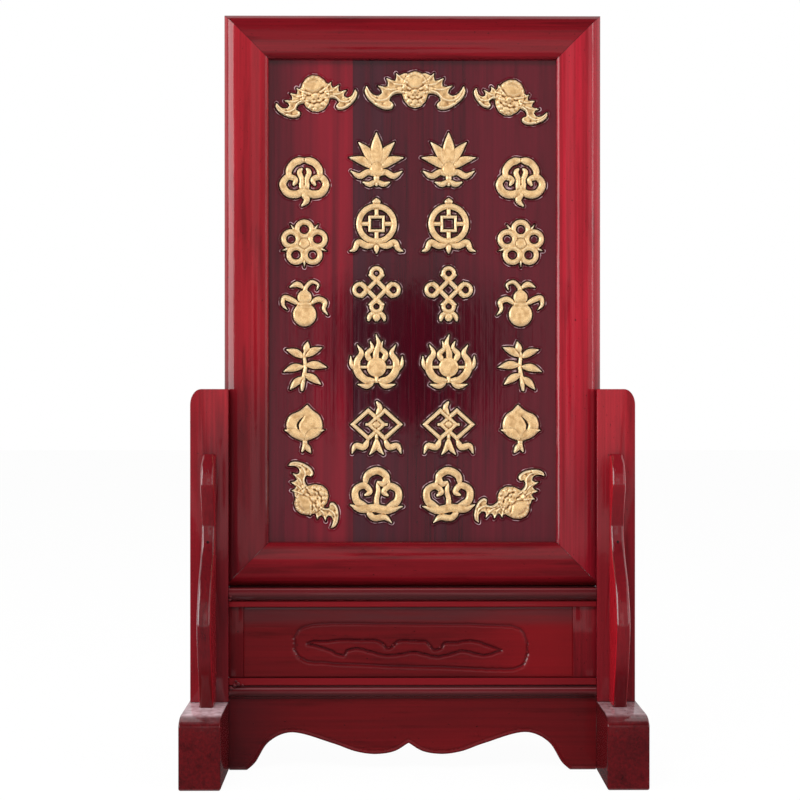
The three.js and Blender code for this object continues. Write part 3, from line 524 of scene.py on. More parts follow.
def panel_finish():
    """Stained staves, a red one and a greyish one left of the middle, a painted dark reflection high in the
    middle, painted shade in the cuts with stain run into them, and a painted highlight on the crests round
    the cuts.
    """
    finish = Lacquer("stained_panel", "Z", PANEL_DEEP, PANEL_BRIGHT, offset=7.0, fine_share=0.55)
    tree = finish.tree
    streaky = mix_values(tree, streaks(tree, "Z", STAVE_STREAKS, 21.0), 0.35, 1.0)
    upward = mix_values(tree, between(tree, "Z", *PANEL_RISE), 0.62, 1.0)
    for low, low_full, high_full, high, tint, share in STAVES:
        rise, fall = between(tree, "X", low, low_full), between(tree, "X", high, high_full)
        broken = maths(tree, "MULTIPLY", maths(tree, "MULTIPLY", rise, fall), streaky)
        if tint == PANEL_STAVE:
            broken = maths(tree, "MULTIPLY", broken, upward)
        finish.tint(broken, tint, share)
    # Painted dark reflection, an ellipse high in the middle of the panel.
    flat = add_node(tree, "VectorMath", {0: where(tree), 1: DARK_REFLECTION_SQUEEZE}, operation="MULTIPLY")
    away = distance(tree, flat.outputs[0], DARK_REFLECTION_AT * DARK_REFLECTION_SQUEEZE * MM)
    finish.tint(ramp(tree, away, DARK_REFLECTION_EDGE[0] * MM, DARK_REFLECTION_EDGE[1] * MM, end=DARK_REFLECTION_SHARE), PANEL_DEEP)
    # Painted shade in the grooves round the carved pieces, partly stain run into them.
    finish.tint(shade_in_cuts(tree, PANEL_FACE, PANEL_CUT), PANEL_BLACK, PANEL_CUT_SHARE)
    # Painted highlight on the lacquer crests round the carved pieces, broken by spots.
    broken = mix_values(tree, spots(tree, where(tree), *CREST_SPOTS), 0.02, 0.6)
    crest, top = PANEL_CREST
    finish.tint(between(tree, "Y", PANEL_FACE - crest, PANEL_FACE - top), PAINTED_SHEEN, broken)
    return finish.finished()


def foot_finish(side, pale):
    """Dark end grain, and a painted pale reflection on the upward faces of the toes."""
    finish = Lacquer("red_lacquer_foot_" + side, "Y", END_DEEP, END_BRIGHT, offset=9.0, fine_share=0.6)
    tree = finish.tree
    patches = streaks(tree, "Y", SHEEN_PATCHES, 1.0)
    inner = between(tree, "Y", *SHEEN_EDGE)
    spread = mix_values(tree, patches, mix_values(tree, inner, 0.02 * pale, 0.5 * pale),
                        mix_values(tree, inner, 0.07 * pale, pale))
    # Painted reflection on the toes' upward faces, stronger towards the back.
    finish.tint(ramp(tree, facing(tree)["Z"], *TOE_UP), PAINTED_SHEEN, spread)
    return finish.finished()


def spandrel_finish():
    """Dark streaky lacquer that is clearer and redder at both ends, duller near the foot, with red flanks."""
    finish = Lacquer("red_lacquer_spandrel", "Z", SPANDREL_DEEP, SPANDREL_BRIGHT, offset=11.0,
                     coat_roughness=0.1)
    tree = finish.tree
    right = between(tree, "X", *MIDDLE)
    rise = between(tree, "Z", *SPANDREL_FOOT)
    finish.tint(right, BRIGHT_RED, SPANDREL_RIGHT_SHARE)
    finish.tint(between(tree, "Z", *SPANDREL_HEAD), BRIGHT_RED, SPANDREL_HEAD_SHARE)
    finish.fade_from(rise, mix_colours(tree, right, SPANDREL_FOOT_LEFT, SPANDREL_FOOT_RIGHT))
    aside = maths(tree, "ABSOLUTE", facing(tree)["X"])
    finish.tint(ramp(tree, aside, *FLANK_ASIDE), mix_colours(tree, right, FLANK_LEFT, FLANK_RIGHT))
    x, _, z = parts(tree, where(tree))
    flat = add_node(tree, "CombineXYZ", {0: maths(tree, "ABSOLUTE", x), 2: z}).outputs[0]
    low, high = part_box("brad_front_right")
    away = distance(tree, flat, ((low.x + high.x) / 2, 0.0, (low.z + high.z) / 2))
    finish.tint(ramp(tree, away, BRAD_HOLE[0] * MM, BRAD_HOLE[1] * MM), PANEL_BLACK)
    set_sockets(tree, finish.surface, {"Coat IOR": mix_values(tree, rise, FOOT_COAT_IOR, SPANDREL_COAT_IOR)})
    return finish.finished()


def rail_finish():
    """Mouldings with painted shade where they face down and a painted highlight where they face up, with flat
    red fillets and a line of painted shade beside them, down in the groove.
    """
    finish = Lacquer("dark_lacquer", "X", RAIL_DEEP, RAIL_BRIGHT, offset=2.0)
    tree = finish.tree
    # Painted shade on downward faces and painted highlight on upward faces.
    up = facing(tree)["Z"]
    finish.fade_from(ramp(tree, up, *NOT_DOWN), RAIL_SHADE)
    finish.tint(ramp(tree, up, *RAIL_UP, end=RAIL_HIGHLIGHT_SHARE), RAIL_TOP_HIGHLIGHT)
    reach = maths(tree, "ABSOLUTE", parts(tree, where(tree))["Y"])
    for (low, high), tint in ((RAIL_FILLET_EDGE, FILLET_RED), (RAIL_SHADE_LINE, RAIL_SHADE)):
        finish.tint(ramp(tree, reach, low * MM, high * MM), tint)
    return finish.finished()


def apron_finish():
    """Low lacquer, darker towards the left foot."""
    finish = Lacquer("red_lacquer_apron", "X", LOW_DEEP, LOW_BRIGHT, offset=5.0)
    finish.tint(between(finish.tree, "X", *APRON_LEFT), STAIN_AND_SHADE, APRON_LEFT_SHARE)
    return finish.finished()


def waist_finish():
    """Low lacquer, redder on the right, with a greyish band along the top of the board."""
    finish = Lacquer("red_lacquer_waist", "X", LOW_DEEP, LOW_BRIGHT, offset=5.0)
    tree = finish.tree
    finish.tint(between(tree, "X", *WAIST_RIGHT), WAIST_RED, WAIST_RIGHT_SHARE)
    broken = streaks(tree, "X", BAND_STREAKS, 4.0)
    finish.tint(between(tree, "Z", *WAIST_BAND), BAND_GREY, mix_values(tree, broken, 0.15, 0.6))
    # Painted shade in the cuts of the cartouche and the scroll.
    finish.tint(shade_in_cuts(tree, WAIST_FACE, WAIST_CUT), STAIN_AND_SHADE, WAIST_CUT_SHARE)
    return finish.finished()


# What each upright takes: the two colours and offset of its lacquer, and how its painted shade darkens it
# towards the foot

POSTS = {"left": ((DEEP_RED, BRIGHT_RED, 0.0), (195.0, 236.0, 0.6, -134.0)),
         "right": ((DEEP_RED, BRIGHT_RED, 2.2), (160.0, 236.0, 0.42))}
STILES = {"left": ((DEEP_RED, BRIGHT_RED, 4.4), (205.0, 290.0, 0.66)),
          "right": ((DEEP_RED, RIGHT_LIT_RED, 6.6), (160.0, 250.0, 0.3))}
ENDS = {"left": (END_DEEP, END_BRIGHT, 6.0), "right": (LEVEL_DEEP, LEVEL_BRIGHT, 12.0)}
END_COATS = {"left": LOW_COAT_IOR, "right": COAT_IOR}
FOOT_SHEEN = {"left": 1.0, "right": 0.5}

red_post, red_stile, low_along_z, red_foot = {}, {}, {}, {}
# Posts and stiles get painted shade towards the foot.
for side in SIDES:
    paint, fall = POSTS[side]
    red_post[side] = Lacquer("red_lacquer_post_" + side, "Z", *paint).shaded_below(*fall).finished()
    paint, fall = STILES[side]
    red_stile[side] = Lacquer("red_lacquer_stile_" + side, "Z", *paint).shaded_below(*fall).seam().finished()
    paint, coat = ENDS[side], END_COATS[side]
    low_along_z[side] = Lacquer("red_lacquer_low_" + side, "Z", *paint, coat_ior=coat).finished()
    red_foot[side] = foot_finish(side, FOOT_SHEEN[side])
red_along_x = Lacquer("red_lacquer_level", "X", LEVEL_DEEP, LEVEL_BRIGHT, offset=5.0).seam().finished()
red_spandrel = spandrel_finish()
red_apron = apron_finish()
red_waist = waist_finish()
dark_along_x = rail_finish()
panel_stain = panel_finish()
gilt = gilding()
steel = bare_steel()
plain_wood = bare_wood()


# Pieces

SAME_POINT = 1e-6
FLAT_BEND = 1.0
ARRIS_BEND = 38.0


def finish_mesh(name, bm, body, material, node, smooth_angle=32.0):
    """Turns the built mesh into a piece that rides on its body and stands for its node."""
    mesh = bpy.data.meshes.new(name)
    bmesh.ops.recalc_face_normals(bm, faces=bm.faces)
    bm.to_mesh(mesh)
    bm.free()
    mesh.shade_smooth()
    mesh.set_sharp_from_angle(angle=math.radians(smooth_angle))
    mesh.materials.append(material)
    piece = bpy.data.objects.new(name, mesh)
    scene.collection.objects.link(piece)
    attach(piece, body)
    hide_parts(node)


def eased(node, material, radius, reach=0.0):
    """The node's own form, a little longer by its reach, with arrises rounded as sanding leaves them."""
    bm = bmesh.new()
    bm.from_mesh(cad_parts[node].data)
    bmesh.ops.remove_doubles(bm, verts=bm.verts, dist=SAME_POINT)
    outermost = max(abs(v.co.x) for v in bm.verts)
    for v in bm.verts:
        if abs(v.co.x) > outermost - SAME_POINT:
            v.co.x += math.copysign(reach, v.co.x)
    bmesh.ops.dissolve_limit(bm, angle_limit=math.radians(FLAT_BEND), verts=bm.verts, edges=bm.edges)
    arrises = [e for e in bm.edges if e.is_manifold and e.calc_face_angle(0.0) > math.radians(ARRIS_BEND)]
    bmesh.ops.bevel(bm, geom=arrises, offset=radius, offset_type="OFFSET", segments=3, profile=0.5,
                    affect="EDGES", clamp_overlap=True)
    finish_mesh(node + "_dressed", bm, "stand", material, node)


# Flat shapes of the relief, each a list of closed loops: the outline, then its holes

CIRCLE_STEPS = 48
LEAF_STEPS = 18
STROKE_END = 5
STROKE_TIP = 0.2
LOZENGE_BAND = 1.35


def circle(x, z, radius):
    turns = np.linspace(0, 2 * math.pi, CIRCLE_STEPS, endpoint=False)
    return [np.column_stack((x + radius * np.cos(turns), z + radius * np.sin(turns)))]


def ring(x, z, radius, width):
    return circle(x, z, radius) + circle(x, z, radius - width)


def smooth_line(points, steps=8):
    """A centripetal Catmull-Rom curve through the points."""
    line = np.asarray(points, float)
    padded = np.vstack((2 * line[0] - line[1], line, 2 * line[-1] - line[-2]))
    gaps = np.maximum(np.sqrt(np.linalg.norm(np.diff(padded, axis=0), axis=1)), 1e-6)
    made = []
    for i in range(1, len(padded) - 2):
        before, start, end, after = padded[i - 1:i + 3]
        first, middle, last = gaps[i - 1:i + 2]
        slope = (end - start) / middle
        leave = ((start - before) / first - (end - before) / (first + middle) + slope) * middle
        arrive = (slope - (after - start) / (middle + last) + (after - end) / last) * middle
        t = np.linspace(0, 1, steps, endpoint=False)[:, None]
        made.append(start * (2 * t**3 - 3 * t**2 + 1) + leave * (t**3 - 2 * t**2 + t)
                    + end * (3 * t**2 - 2 * t**3) + arrive * (t**3 - t**2))
    return np.vstack(made + [line[-1:]])


def smooth_loop(points, corner=62.0, steps=6):
    """A closed curve through the points that keeps its sharp corners."""
    loop = np.asarray(points, float)
    count = len(loop)
    arriving = loop - np.roll(loop, 1, axis=0)
    leaving = np.roll(arriving, -1, axis=0)
    aside = arriving[:, 0] * leaving[:, 1] - arriving[:, 1] * leaving[:, 0]
    turns = np.degrees(np.arctan2(aside, (arriving * leaving).sum(1)))
    corners = [i for i in range(count) if abs(turns[i]) > corner]
    if not corners:
        wrapped = smooth_line(np.vstack((loop[-2:], loop, loop[:3])), steps)
        return wrapped[2 * steps:(2 + count) * steps]
    runs = []
    for first, second in zip(corners, corners[1:] + [corners[0] + count]):
        run = np.array([loop[i % count] for i in range(first, second + 1)])
        runs.append(smooth_line(run, steps)[:-1])
    return np.vstack(runs)


def stroke(entries):
    """A brush stroke: each entry is x, z and the half width there."""
    curve = smooth_line(entries)
    way = np.gradient(curve[:, :2], axis=0)
    way /= np.maximum(np.linalg.norm(way, axis=1), 1e-9)[:, None]
    normal = np.column_stack((-way[:, 1], way[:, 0]))
    half = curve[:, 2].copy()
    for end in (half[:STROKE_END], half[::-1][:STROKE_END]):
        end *= np.sqrt(np.linspace(STROKE_TIP, 1, STROKE_END))
    side = normal * half[:, None]
    return [np.vstack((curve[:, :2] + side, (curve[:, :2] - side)[::-1]))]


def bar(x0, z0, x1, z1, width):
    along = np.array([x1 - x0, z1 - z0], float)
    side = np.array([-along[1], along[0]]) / np.linalg.norm(along) * width / 2
    start, end = np.array([x0, z0]), np.array([x1, z1])
    return [np.array([start + side, start - side, end - side, end + side])]


def leaf(x, z, length, width, heading, bend=0.0):
    """A pointed leaf or petal from its root, along a heading in degrees from straight up."""
    t = np.linspace(0, 1, LEAF_STEPS)
    half = width / 2 * np.sin(math.pi * t**0.85)
    sway = bend * np.sin(math.pi * t)
    across = np.concatenate((sway - half, (sway + half)[-2:0:-1]))
    up = np.concatenate((t, t[-2:0:-1])) * length
    turn = -math.radians(heading)
    return [np.column_stack((x + across * math.cos(turn) - up * math.sin(turn),
                             z + across * math.sin(turn) + up * math.cos(turn)))]


def lozenge(x, z, half_wide, half_tall, width):
    inner = width * LOZENGE_BAND
    return [np.array([(x + wide, z), (x, z + tall), (x - wide, z), (x, z - tall)])
            for wide, tall in ((half_wide, half_tall), (half_wide - inner, half_tall - inner))]


def mirrored(shape):
    return [loop * np.array([-1.0, 1.0]) for loop in shape]


def both_sides(*shapes):
    return [side for shape in shapes for side in (shape, mirrored(shape))]


def ruyi_cloud():
    return [
        stroke([(0, -0.1, 0.16), (0, -0.45, 0.15), (0.1, -0.75, 0.12), (-0.12, -1, 0.04)]),
        *both_sides(
            stroke([(0.14, -0.3, 0.12), (0.1, 0.1, 0.1), (0.2, 0.42, 0.1), (0.08, 0.58, 0.06)]),
            stroke([(0, -0.3, 0.1), (0.32, -0.5, 0.15), (0.7, -0.44, 0.15), (0.9, -0.08, 0.14),
                    (0.68, 0.22, 0.12), (0.36, 0.1, 0.1), (0.46, -0.14, 0.07)]),
            stroke([(0.62, 0.14, 0.1), (0.64, 0.5, 0.13), (0.4, 0.82, 0.14), (0, 0.94, 0.15)]),
        ),
    ]


def plum_blossom():
    turns = [math.pi / 2 + 2 * math.pi * i / 5 for i in range(5)]
    sepals = [leaf(0, 0, 0.98, 0.15, 360 * i / 5 + 36) for i in range(5)]
    petals = [ring(0.58 * math.cos(turn), 0.58 * math.sin(turn), 0.4, 0.2) for turn in turns]
    return [*sepals, *petals, circle(0, 0, 0.22)]


def gourd():
    return [
        stroke([(-0.02, 0.7, 0.07), (-0.3, 0.86, 0.11), (-0.62, 0.74, 0.03)]),
        stroke([(0, 0.5, 0.1), (0.06, 0.74, 0.08), (0.3, 0.96, 0.07), (0.56, 0.84, 0.05), (0.5, 0.62, 0.02)]),
        stroke([(0.24, 0.04, 0.08), (0.56, 0.24, 0.11), (0.84, 0.12, 0.1), (0.8, -0.18, 0.07),
                (0.98, -0.42, 0.02)]),
        stroke([(-0.24, 0.04, 0.08), (-0.56, 0.22, 0.11), (-0.84, 0.3, 0.1), (-0.9, 0.02, 0.07),
                (-0.72, -0.2, 0.02)]),
        circle(0, 0.32, 0.29),
        circle(0, -0.4, 0.48),
        bar(-0.3, 0.04, 0.3, 0.04, 0.16),
    ]


def bamboo_spray():
    return [
        stroke([(-0.1, -1, 0.09), (-0.04, -0.5, 0.08), (0.04, 0, 0.075), (0, 0.45, 0.06),
                (0.06, 0.72, 0.04)]),
        leaf(-0.04, -0.42, 0.78, 0.28, -134, 0.04),
        leaf(-0.02, -0.3, 0.84, 0.3, 122, -0.04),
        leaf(0, 0, 0.9, 0.3, -104, 0.06),
        leaf(0.02, 0.06, 0.92, 0.32, 96, -0.05),
        leaf(0, 0.36, 0.84, 0.3, -66, 0.05),
        leaf(0.02, 0.4, 0.82, 0.3, 62, -0.05),
        leaf(0.04, 0.55, 0.5, 0.26, 12),
    ]


def peach():
    body = smooth_loop([(0.12, 0.96), (0.32, 0.74), (0.62, 0.5), (0.74, 0.08), (0.58, -0.29), (0, -0.5),
                        (-0.58, -0.28), (-0.74, 0.12), (-0.6, 0.5), (-0.2, 0.7)], corner=50.0)
    cleft = stroke([(-0.02, 0.5, 0.015), (-0.26, 0.16, 0.05), (-0.2, -0.2, 0.015)])[0]
    return [
        stroke([(0, -0.42, 0.1), (0.02, -0.66, 0.09), (-0.1, -0.98, 0.06)]),
        leaf(0, -0.62, 0.5, 0.22, 146),
        [body, cleft],
        leaf(0, -0.52, 0.94, 0.34, 62, -0.12),
        leaf(0, -0.52, 0.94, 0.34, -62, 0.12),
    ]


def lotus():
    return [
        stroke([(0, -0.4, 0.1), (0, -0.7, 0.1), (0, -1, 0.08)]),
        *both_sides(
            stroke([(0, -0.8, 0.07), (0.24, -0.94, 0.09), (0.5, -0.86, 0.03)]),
            stroke([(0, -0.62, 0.08), (0.3, -0.5, 0.1), (0.62, -0.64, 0.1), (0.94, -0.46, 0.03)]),
            leaf(0.04, -0.4, 1.06, 0.3, 66, -0.1),
            leaf(0.02, -0.36, 1.16, 0.34, 34, -0.08),
        ),
        leaf(0, -0.34, 1.3, 0.44, 0),
        circle(0, -0.4, 0.24),
    ]


def coin():
    square = [np.column_stack(((loop[:, 0] + loop[:, 1] - 0.08) * math.sqrt(0.5),
                               (loop[:, 1] - 0.08 - loop[:, 0]) * math.sqrt(0.5) + 0.08))
              for loop in lozenge(0, 0.08, 0.42, 0.42, 0.1)]
    return [
        stroke([(0, -0.62, 0.1), (0, -0.84, 0.09), (0, -1, 0.03)]),
        *both_sides(
            stroke([(0, -0.6, 0.08), (0.34, -0.72, 0.11), (0.66, -0.6, 0.11), (0.8, -0.84, 0.08),
                    (0.98, -0.92, 0.02)]),
            bar(0.24, 0.08, 0.6, 0.08, 0.14),
        ),
        bar(0, 0.36, 0, 0.64, 0.14),
        bar(0, -0.5, 0, -0.2, 0.14),
        leaf(0, 0.78, 0.24, 0.3, 0),
        square,
        ring(0, 0.08, 0.74, 0.2),
    ]


def endless_knot():
    across, reach, middle = 0.17, 0.42, 0.14
    bars = []
    for shift in (-across, across):
        bars.append(bar(shift - reach, middle - reach - shift, shift + reach, middle + reach - shift, 0.15))
        bars.append(bar(shift - reach, middle + reach + shift, shift + reach, middle - reach + shift, 0.15))
    return [
        stroke([(0, -0.62, 0.12), (0, -0.8, 0.14), (0, -1, 0.12)]),
        *both_sides(stroke([(0.04, -0.66, 0.08), (0.24, -0.8, 0.08), (0.3, -1, 0.06)])),
        ring(0, middle + 0.6, 0.26, 0.14),
        ring(0, middle - 0.6, 0.26, 0.14),
        ring(0.6, middle, 0.28, 0.14),
        ring(-0.6, middle, 0.28, 0.14),
        *bars,
    ]


def flaming_pearl():
    return [
        bar(0, -0.8, 0, -0.5, 0.14),
        bar(0.28, -0.22, 0.7, -0.22, 0.1),
        bar(-0.7, -0.22, -0.28, -0.22, 0.1),
        *both_sides(
            stroke([(0.7, -0.36, 0.08), (0.92, -0.14, 0.08), (0.96, 0.2, 0.02)]),
            stroke([(0.08, -0.7, 0.08), (0.34, -0.92, 0.1), (0.7, -0.86, 0.03)]),
            stroke([(0.05, -0.72, 0.1), (0.42, -0.68, 0.13), (0.7, -0.38, 0.14), (0.72, 0, 0.12),
                    (0.56, 0.3, 0.09), (0.72, 0.62, 0.02)]),
            stroke([(0.2, -0.04, 0.1), (0.34, 0.26, 0.1), (0.16, 0.5, 0.07), (0.24, 0.76, 0.02)]),
        ),
        stroke([(0, -0.1, 0.1), (-0.02, 0.3, 0.11), (0.08, 0.62, 0.09), (-0.02, 1, 0.02)]),
        circle(0, -0.22, 0.36),
    ]


def twin_lozenge():
    return [
        stroke([(0, 0.5, 0.08), (0.12, 0.78, 0.09), (0, 1, 0.05)]),
        *both_sides(
            stroke([(0, -0.34, 0.06), (0.06, -0.66, 0.1), (0.26, -0.94, 0.03)]),
            stroke([(0.3, -0.38, 0.08), (0.46, -0.66, 0.11), (0.76, -0.62, 0.1), (0.9, -0.9, 0.03)]),
        ),
        bar(0, -0.36, 0, -0.1, 0.12),
        bar(-0.4, 0.16, 0.4, 0.16, 0.1),
        lozenge(-0.3, 0.16, 0.66, 0.6, 0.14),
        lozenge(0.3, 0.16, 0.66, 0.6, 0.14),
        circle(0, 0.16, 0.13),
    ]


def drifting_cloud():
    return [
        stroke([(0.02, -0.44, 0.1), (0, -0.1, 0.09), (0.06, 0.2, 0.08), (0.02, 0.5, 0.06)]),
        stroke([(-0.36, -0.5, 0.1), (-0.1, -0.78, 0.11), (0.3, -0.76, 0.1), (0.56, -0.96, 0.02)]),
        stroke([(0.44, 0.36, 0.08), (0.4, 0.56, 0.09), (0.34, 0.74, 0.08)]),
        stroke([(-0.42, 0.38, 0.08), (-0.34, 0.76, 0.12), (0.04, 0.94, 0.13), (0.36, 0.72, 0.12),
                (0.24, 0.46, 0.1), (0.02, 0.54, 0.06)]),
        stroke([(-0.3, -0.4, 0.12), (-0.72, -0.16, 0.13), (-0.76, 0.24, 0.12), (-0.44, 0.4, 0.11),
                (-0.24, 0.16, 0.09), (-0.44, 0.04, 0.06)]),
        stroke([(0.34, -0.44, 0.12), (0.76, -0.16, 0.13), (0.78, 0.22, 0.12), (0.48, 0.38, 0.11),
                (0.26, 0.16, 0.09), (0.44, 0.02, 0.06)]),
        stroke([(-0.96, -0.3, 0.03), (-0.6, -0.46, 0.12), (-0.1, -0.42, 0.14), (0.4, -0.5, 0.14),
                (0.96, -0.36, 0.03)]),
    ]


MOTIFS = (lotus, coin, endless_knot, flaming_pearl, twin_lozenge, drifting_cloud, ruyi_cloud, plum_blossom,
          gourd, bamboo_spray, peach)


# Relief fields: how far each point of a fine grid lies inside the shapes, and how high it stands

RELIEF_CELL = 0.28 * MM
RELIEF_MARGIN = 2.6 * MM
RELIEF_TOP = 3.0 * MM
SIDE_TOP = 1.25 * MM
SHOULDER = 1.35 * MM
SHOULDER_TOP = 2.7 * MM
CROWN_REACH = 2.6 * MM
JOINT_GROOVE = 0.5 * MM
JOINT_DEPTH = 0.55 * MM
JOINT_FADE = (0.1 * MM, 0.8 * MM)
KEPT_BESIDE = 0.97
FAR_OUT = -9.0 * MM


def line_distance(x, z, line, closed=False):
    """Distance of every grid point to a polyline."""
    ends = np.roll(line, -1, axis=0) if closed else line[1:]
    best = np.full(x.shape, 1e9)
    for (ax, az), (bx, bz) in zip(line[:len(ends)], ends):
        dx, dz = bx - ax, bz - az
        along = np.clip(((x - ax) * dx + (z - az) * dz) / max(dx * dx + dz * dz, 1e-18), 0, 1)
        best = np.minimum(best, (x - ax - along * dx)**2 + (z - az - along * dz)**2)
    return np.sqrt(best)


def inside_loop(x, z, loop):
    inside = np.zeros(x.shape, bool)
    for (ax, az), (bx, bz) in zip(loop, np.roll(loop, -1, axis=0)):
        if az != bz:
            inside ^= ((az > z) != (bz > z)) & (x < (bx - ax) * (z - az) / (bz - az) + ax)
    return inside


def shape_depth(x, z, shape):
    """How far every grid point lies inside the shape; below zero outside."""
    inside = np.zeros(x.shape, bool)
    nearest = np.full(x.shape, 1e9)
    for loop in shape:
        inside ^= inside_loop(x, z, loop)
        nearest = np.minimum(nearest, line_distance(x, z, loop, closed=True))
    return np.where(inside, nearest, -nearest)


def blend_max(a, b, reach):
    overlap = np.maximum(reach - np.abs(a - b), 0) / reach
    return np.maximum(a, b) + overlap**2 * reach / 4


def ease(value, low, high):
    t = np.clip((value - low) / (high - low), 0, 1)
    return t * t * (3 - 2 * t)


def pillow(depth):
    """Height of carved and gilded wood by its depth inside the outline: rounded shoulder, low crown."""
    t = np.clip(depth / SHOULDER, 0, 1)
    shoulder = SIDE_TOP + (SHOULDER_TOP - SIDE_TOP) * np.sqrt(np.maximum(1 - (1 - t)**2, 0))
    return shoulder + (RELIEF_TOP - SHOULDER_TOP) * ease(depth, 0, CROWN_REACH)


class Relief:
    """A field of depth and height over a grid, in metres round the piece's own middle."""

    def __init__(self, xs, zs):
        self.start = np.array((xs[0], zs[0]))
        self.x, self.z = np.meshgrid(xs, zs, indexing="ij")
        self.depth = np.full(self.x.shape, FAR_OUT)
        self.height = np.zeros(self.x.shape)

    def window(self, loop, margin):
        low = ((loop.min(0) - margin - self.start) / RELIEF_CELL).astype(int)
        high = ((loop.max(0) + margin - self.start) / RELIEF_CELL).astype(int) + 2
        low = np.maximum(low, 0)
        return slice(low[0], max(high[0], 0)), slice(low[1], max(high[1], 0))

    def add(self, shape, form=pillow, weld=0.5 * MM, groove=JOINT_DEPTH):
        """Lays a shape over what is there, with a carved line where it passes over another."""
        at = self.window(shape[0], RELIEF_MARGIN)
        depth = shape_depth(self.x[at], self.z[at], shape)
        below = self.depth[at]
        cut = groove * ease(-np.abs(depth), -JOINT_GROOVE, 0) * ease(below, *JOINT_FADE)
        raised = form(np.maximum(depth, 0))
        beside = self.height[at] - cut * (depth <= 0)
        lowered = np.where(below > 0, np.maximum(raised - cut * (depth > 0), beside * KEPT_BESIDE), raised)
        self.height[at] = np.where(depth > 0, lowered, beside)
        self.depth[at] = blend_max(below, depth, weld)
        fill = (self.depth[at] > 0) & (below <= 0) & (depth <= 0)
        self.height[at] = np.where(fill, pillow(np.maximum(self.depth[at], 0)), self.height[at])

    def line(self, points, width, lift):
        """A rounded ridge, or with a lift below zero a groove, along a line."""
        line = np.asarray(points, float)
        at = self.window(line, width * 2)
        away = line_distance(self.x[at], self.z[at], line)
        self.height[at] += lift * np.exp(-(away / width)**2) * (self.depth[at] > 0)

    def soften(self):
        """Evens the height out as paint does, without touching what lies outside."""
        total = np.zeros(self.height.shape)
        weight = np.zeros(self.height.shape)
        solid = (self.depth > 0).astype(float)
        for dx in (-1, 0, 1):
            for dz in (-1, 0, 1):
                total += np.roll(self.height * solid, (dx, dz), (0, 1))
                weight += np.roll(solid, (dx, dz), (0, 1))
        self.height = np.where(solid > 0, total / np.maximum(weight, 1), self.height)


def relief_over(outlines):
    """An empty field with room round the outlines, and the middle of the outlines."""
    low, high = outlines.min(0), outlines.max(0)
    spans = []
    for first, last in zip(low - RELIEF_MARGIN, high + RELIEF_MARGIN):
        spans.append(first + np.arange(int(math.ceil((last - first) / RELIEF_CELL)) + 1) * RELIEF_CELL)
    return Relief(*spans), (low + high) / 2


# Meshes from fields

RELIEF_BACK = -4.15 * MM
RELIEF_BASE = -5.1 * MM
LEAST_SHARE = 0.06
CORNER_STEPS = ((0, 0), (1, 0), (1, 1), (0, 1))
carved_fields = []


def relief_mesh(field, centre, base=RELIEF_BASE, back=RELIEF_BACK, rim=lambda x, z: SIDE_TOP):
    """The raised front of a field with its side walls and a flat back, as one closed bmesh."""
    bm = bmesh.new()
    least = (field.x[1, 0] - field.x[0, 0]) * LEAST_SHARE
    depth = np.where(np.abs(field.depth) < least, -least, field.depth)
    inside = depth > 0
    cells = inside[:-1, :-1].astype(int) + inside[1:, :-1] + inside[1:, 1:] + inside[:-1, 1:]
    made = {}
    after = {}

    def corner(key):
        if key not in made:
            x, z = centre[0] + field.x[key], centre[1] + field.z[key]
            made[key] = bm.verts.new((x, base - field.height[key], z))
        return made[key]

    def crossing(a, b):
        key = (a, b) if a < b else (b, a)
        if key not in made:
            low, high = key
            t = depth[low] / (depth[low] - depth[high])
            x = field.x[low] + (field.x[high] - field.x[low]) * t
            z = field.z[low] + (field.z[high] - field.z[low]) * t
            made[key] = bm.verts.new((centre[0] + x, base - rim(x, z), centre[1] + z))
        return made[key]

    for i, j in zip(*np.nonzero(cells)):
        corners = [(i + di, j + dj) for di, dj in CORNER_STEPS]
        ring_points = []
        crossings = []
        for a, b in zip(corners, corners[1:] + corners[:1]):
            if inside[a]:
                ring_points.append(corner(a))
            if inside[a] != inside[b]:
                point = crossing(a, b)
                ring_points.append(point)
                crossings.append((point, inside[a]))
        if len(ring_points) > 2:
            bm.faces.new(ring_points)
        for k, (point, leaving) in enumerate(crossings):
            if leaving:
                after[point] = crossings[(k + 1) % len(crossings)][0]
    backs = []
    while after:
        first, step = after.popitem()
        loop = [first]
        while step is not first:
            loop.append(step)
            step = after.pop(step)
        behind = [bm.verts.new((v.co.x, back, v.co.z)) for v in loop]
        for k in range(len(loop)):
            bm.faces.new((loop[k - 1], loop[k], behind[k], behind[k - 1]))
        backs.append(behind)
    flat = [v for behind in backs for v in behind]
    for triangle in tessellate_polygon([[Vector((v.co.x, v.co.z, 0)) for v in behind] for behind in backs]):
        bm.faces.new([flat[k] for k in triangle])
    return bm


def flip_field(field):
    """The same field mirrored left to right."""
    flipped = Relief(-field.x[::-1, 0], field.z[0])
    flipped.depth, flipped.height = field.depth[::-1], field.height[::-1]
    return flipped


def place_relief(name, field, middle):
    """Builds a field where its CAD node is, and remembers it for the groove round it in the panel."""
    low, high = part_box(name)
    centre = ((low.x + high.x) / 2 - middle[0], (low.z + high.z) / 2 - middle[1])
    carved_fields.append((field, centre))
    finish_mesh(name + "_carved", relief_mesh(field, centre), "tablet", gilt, name, smooth_angle=70.0)


def make_motifs():
    """Each motif fills the box of its node on the left, and is mirrored on the right."""
    for draw in MOTIFS:
        name = "gilt_" + draw.__name__
        low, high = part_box(name + "_left")
        shapes = draw()
        outlines = np.vstack([shape[0] for shape in shapes])
        reach = outlines.max(0) - outlines.min(0)
        unit = min((high.x - low.x) / reach[0], (high.z - low.z) / reach[1])
        field, middle = relief_over(outlines * unit)
        for shape in shapes:
            field.add([loop * unit for loop in shape])
        field.soften()
        place_relief(name + "_left", field, middle)
        place_relief(name + "_right", flip_field(field), (-middle[0], middle[1]))


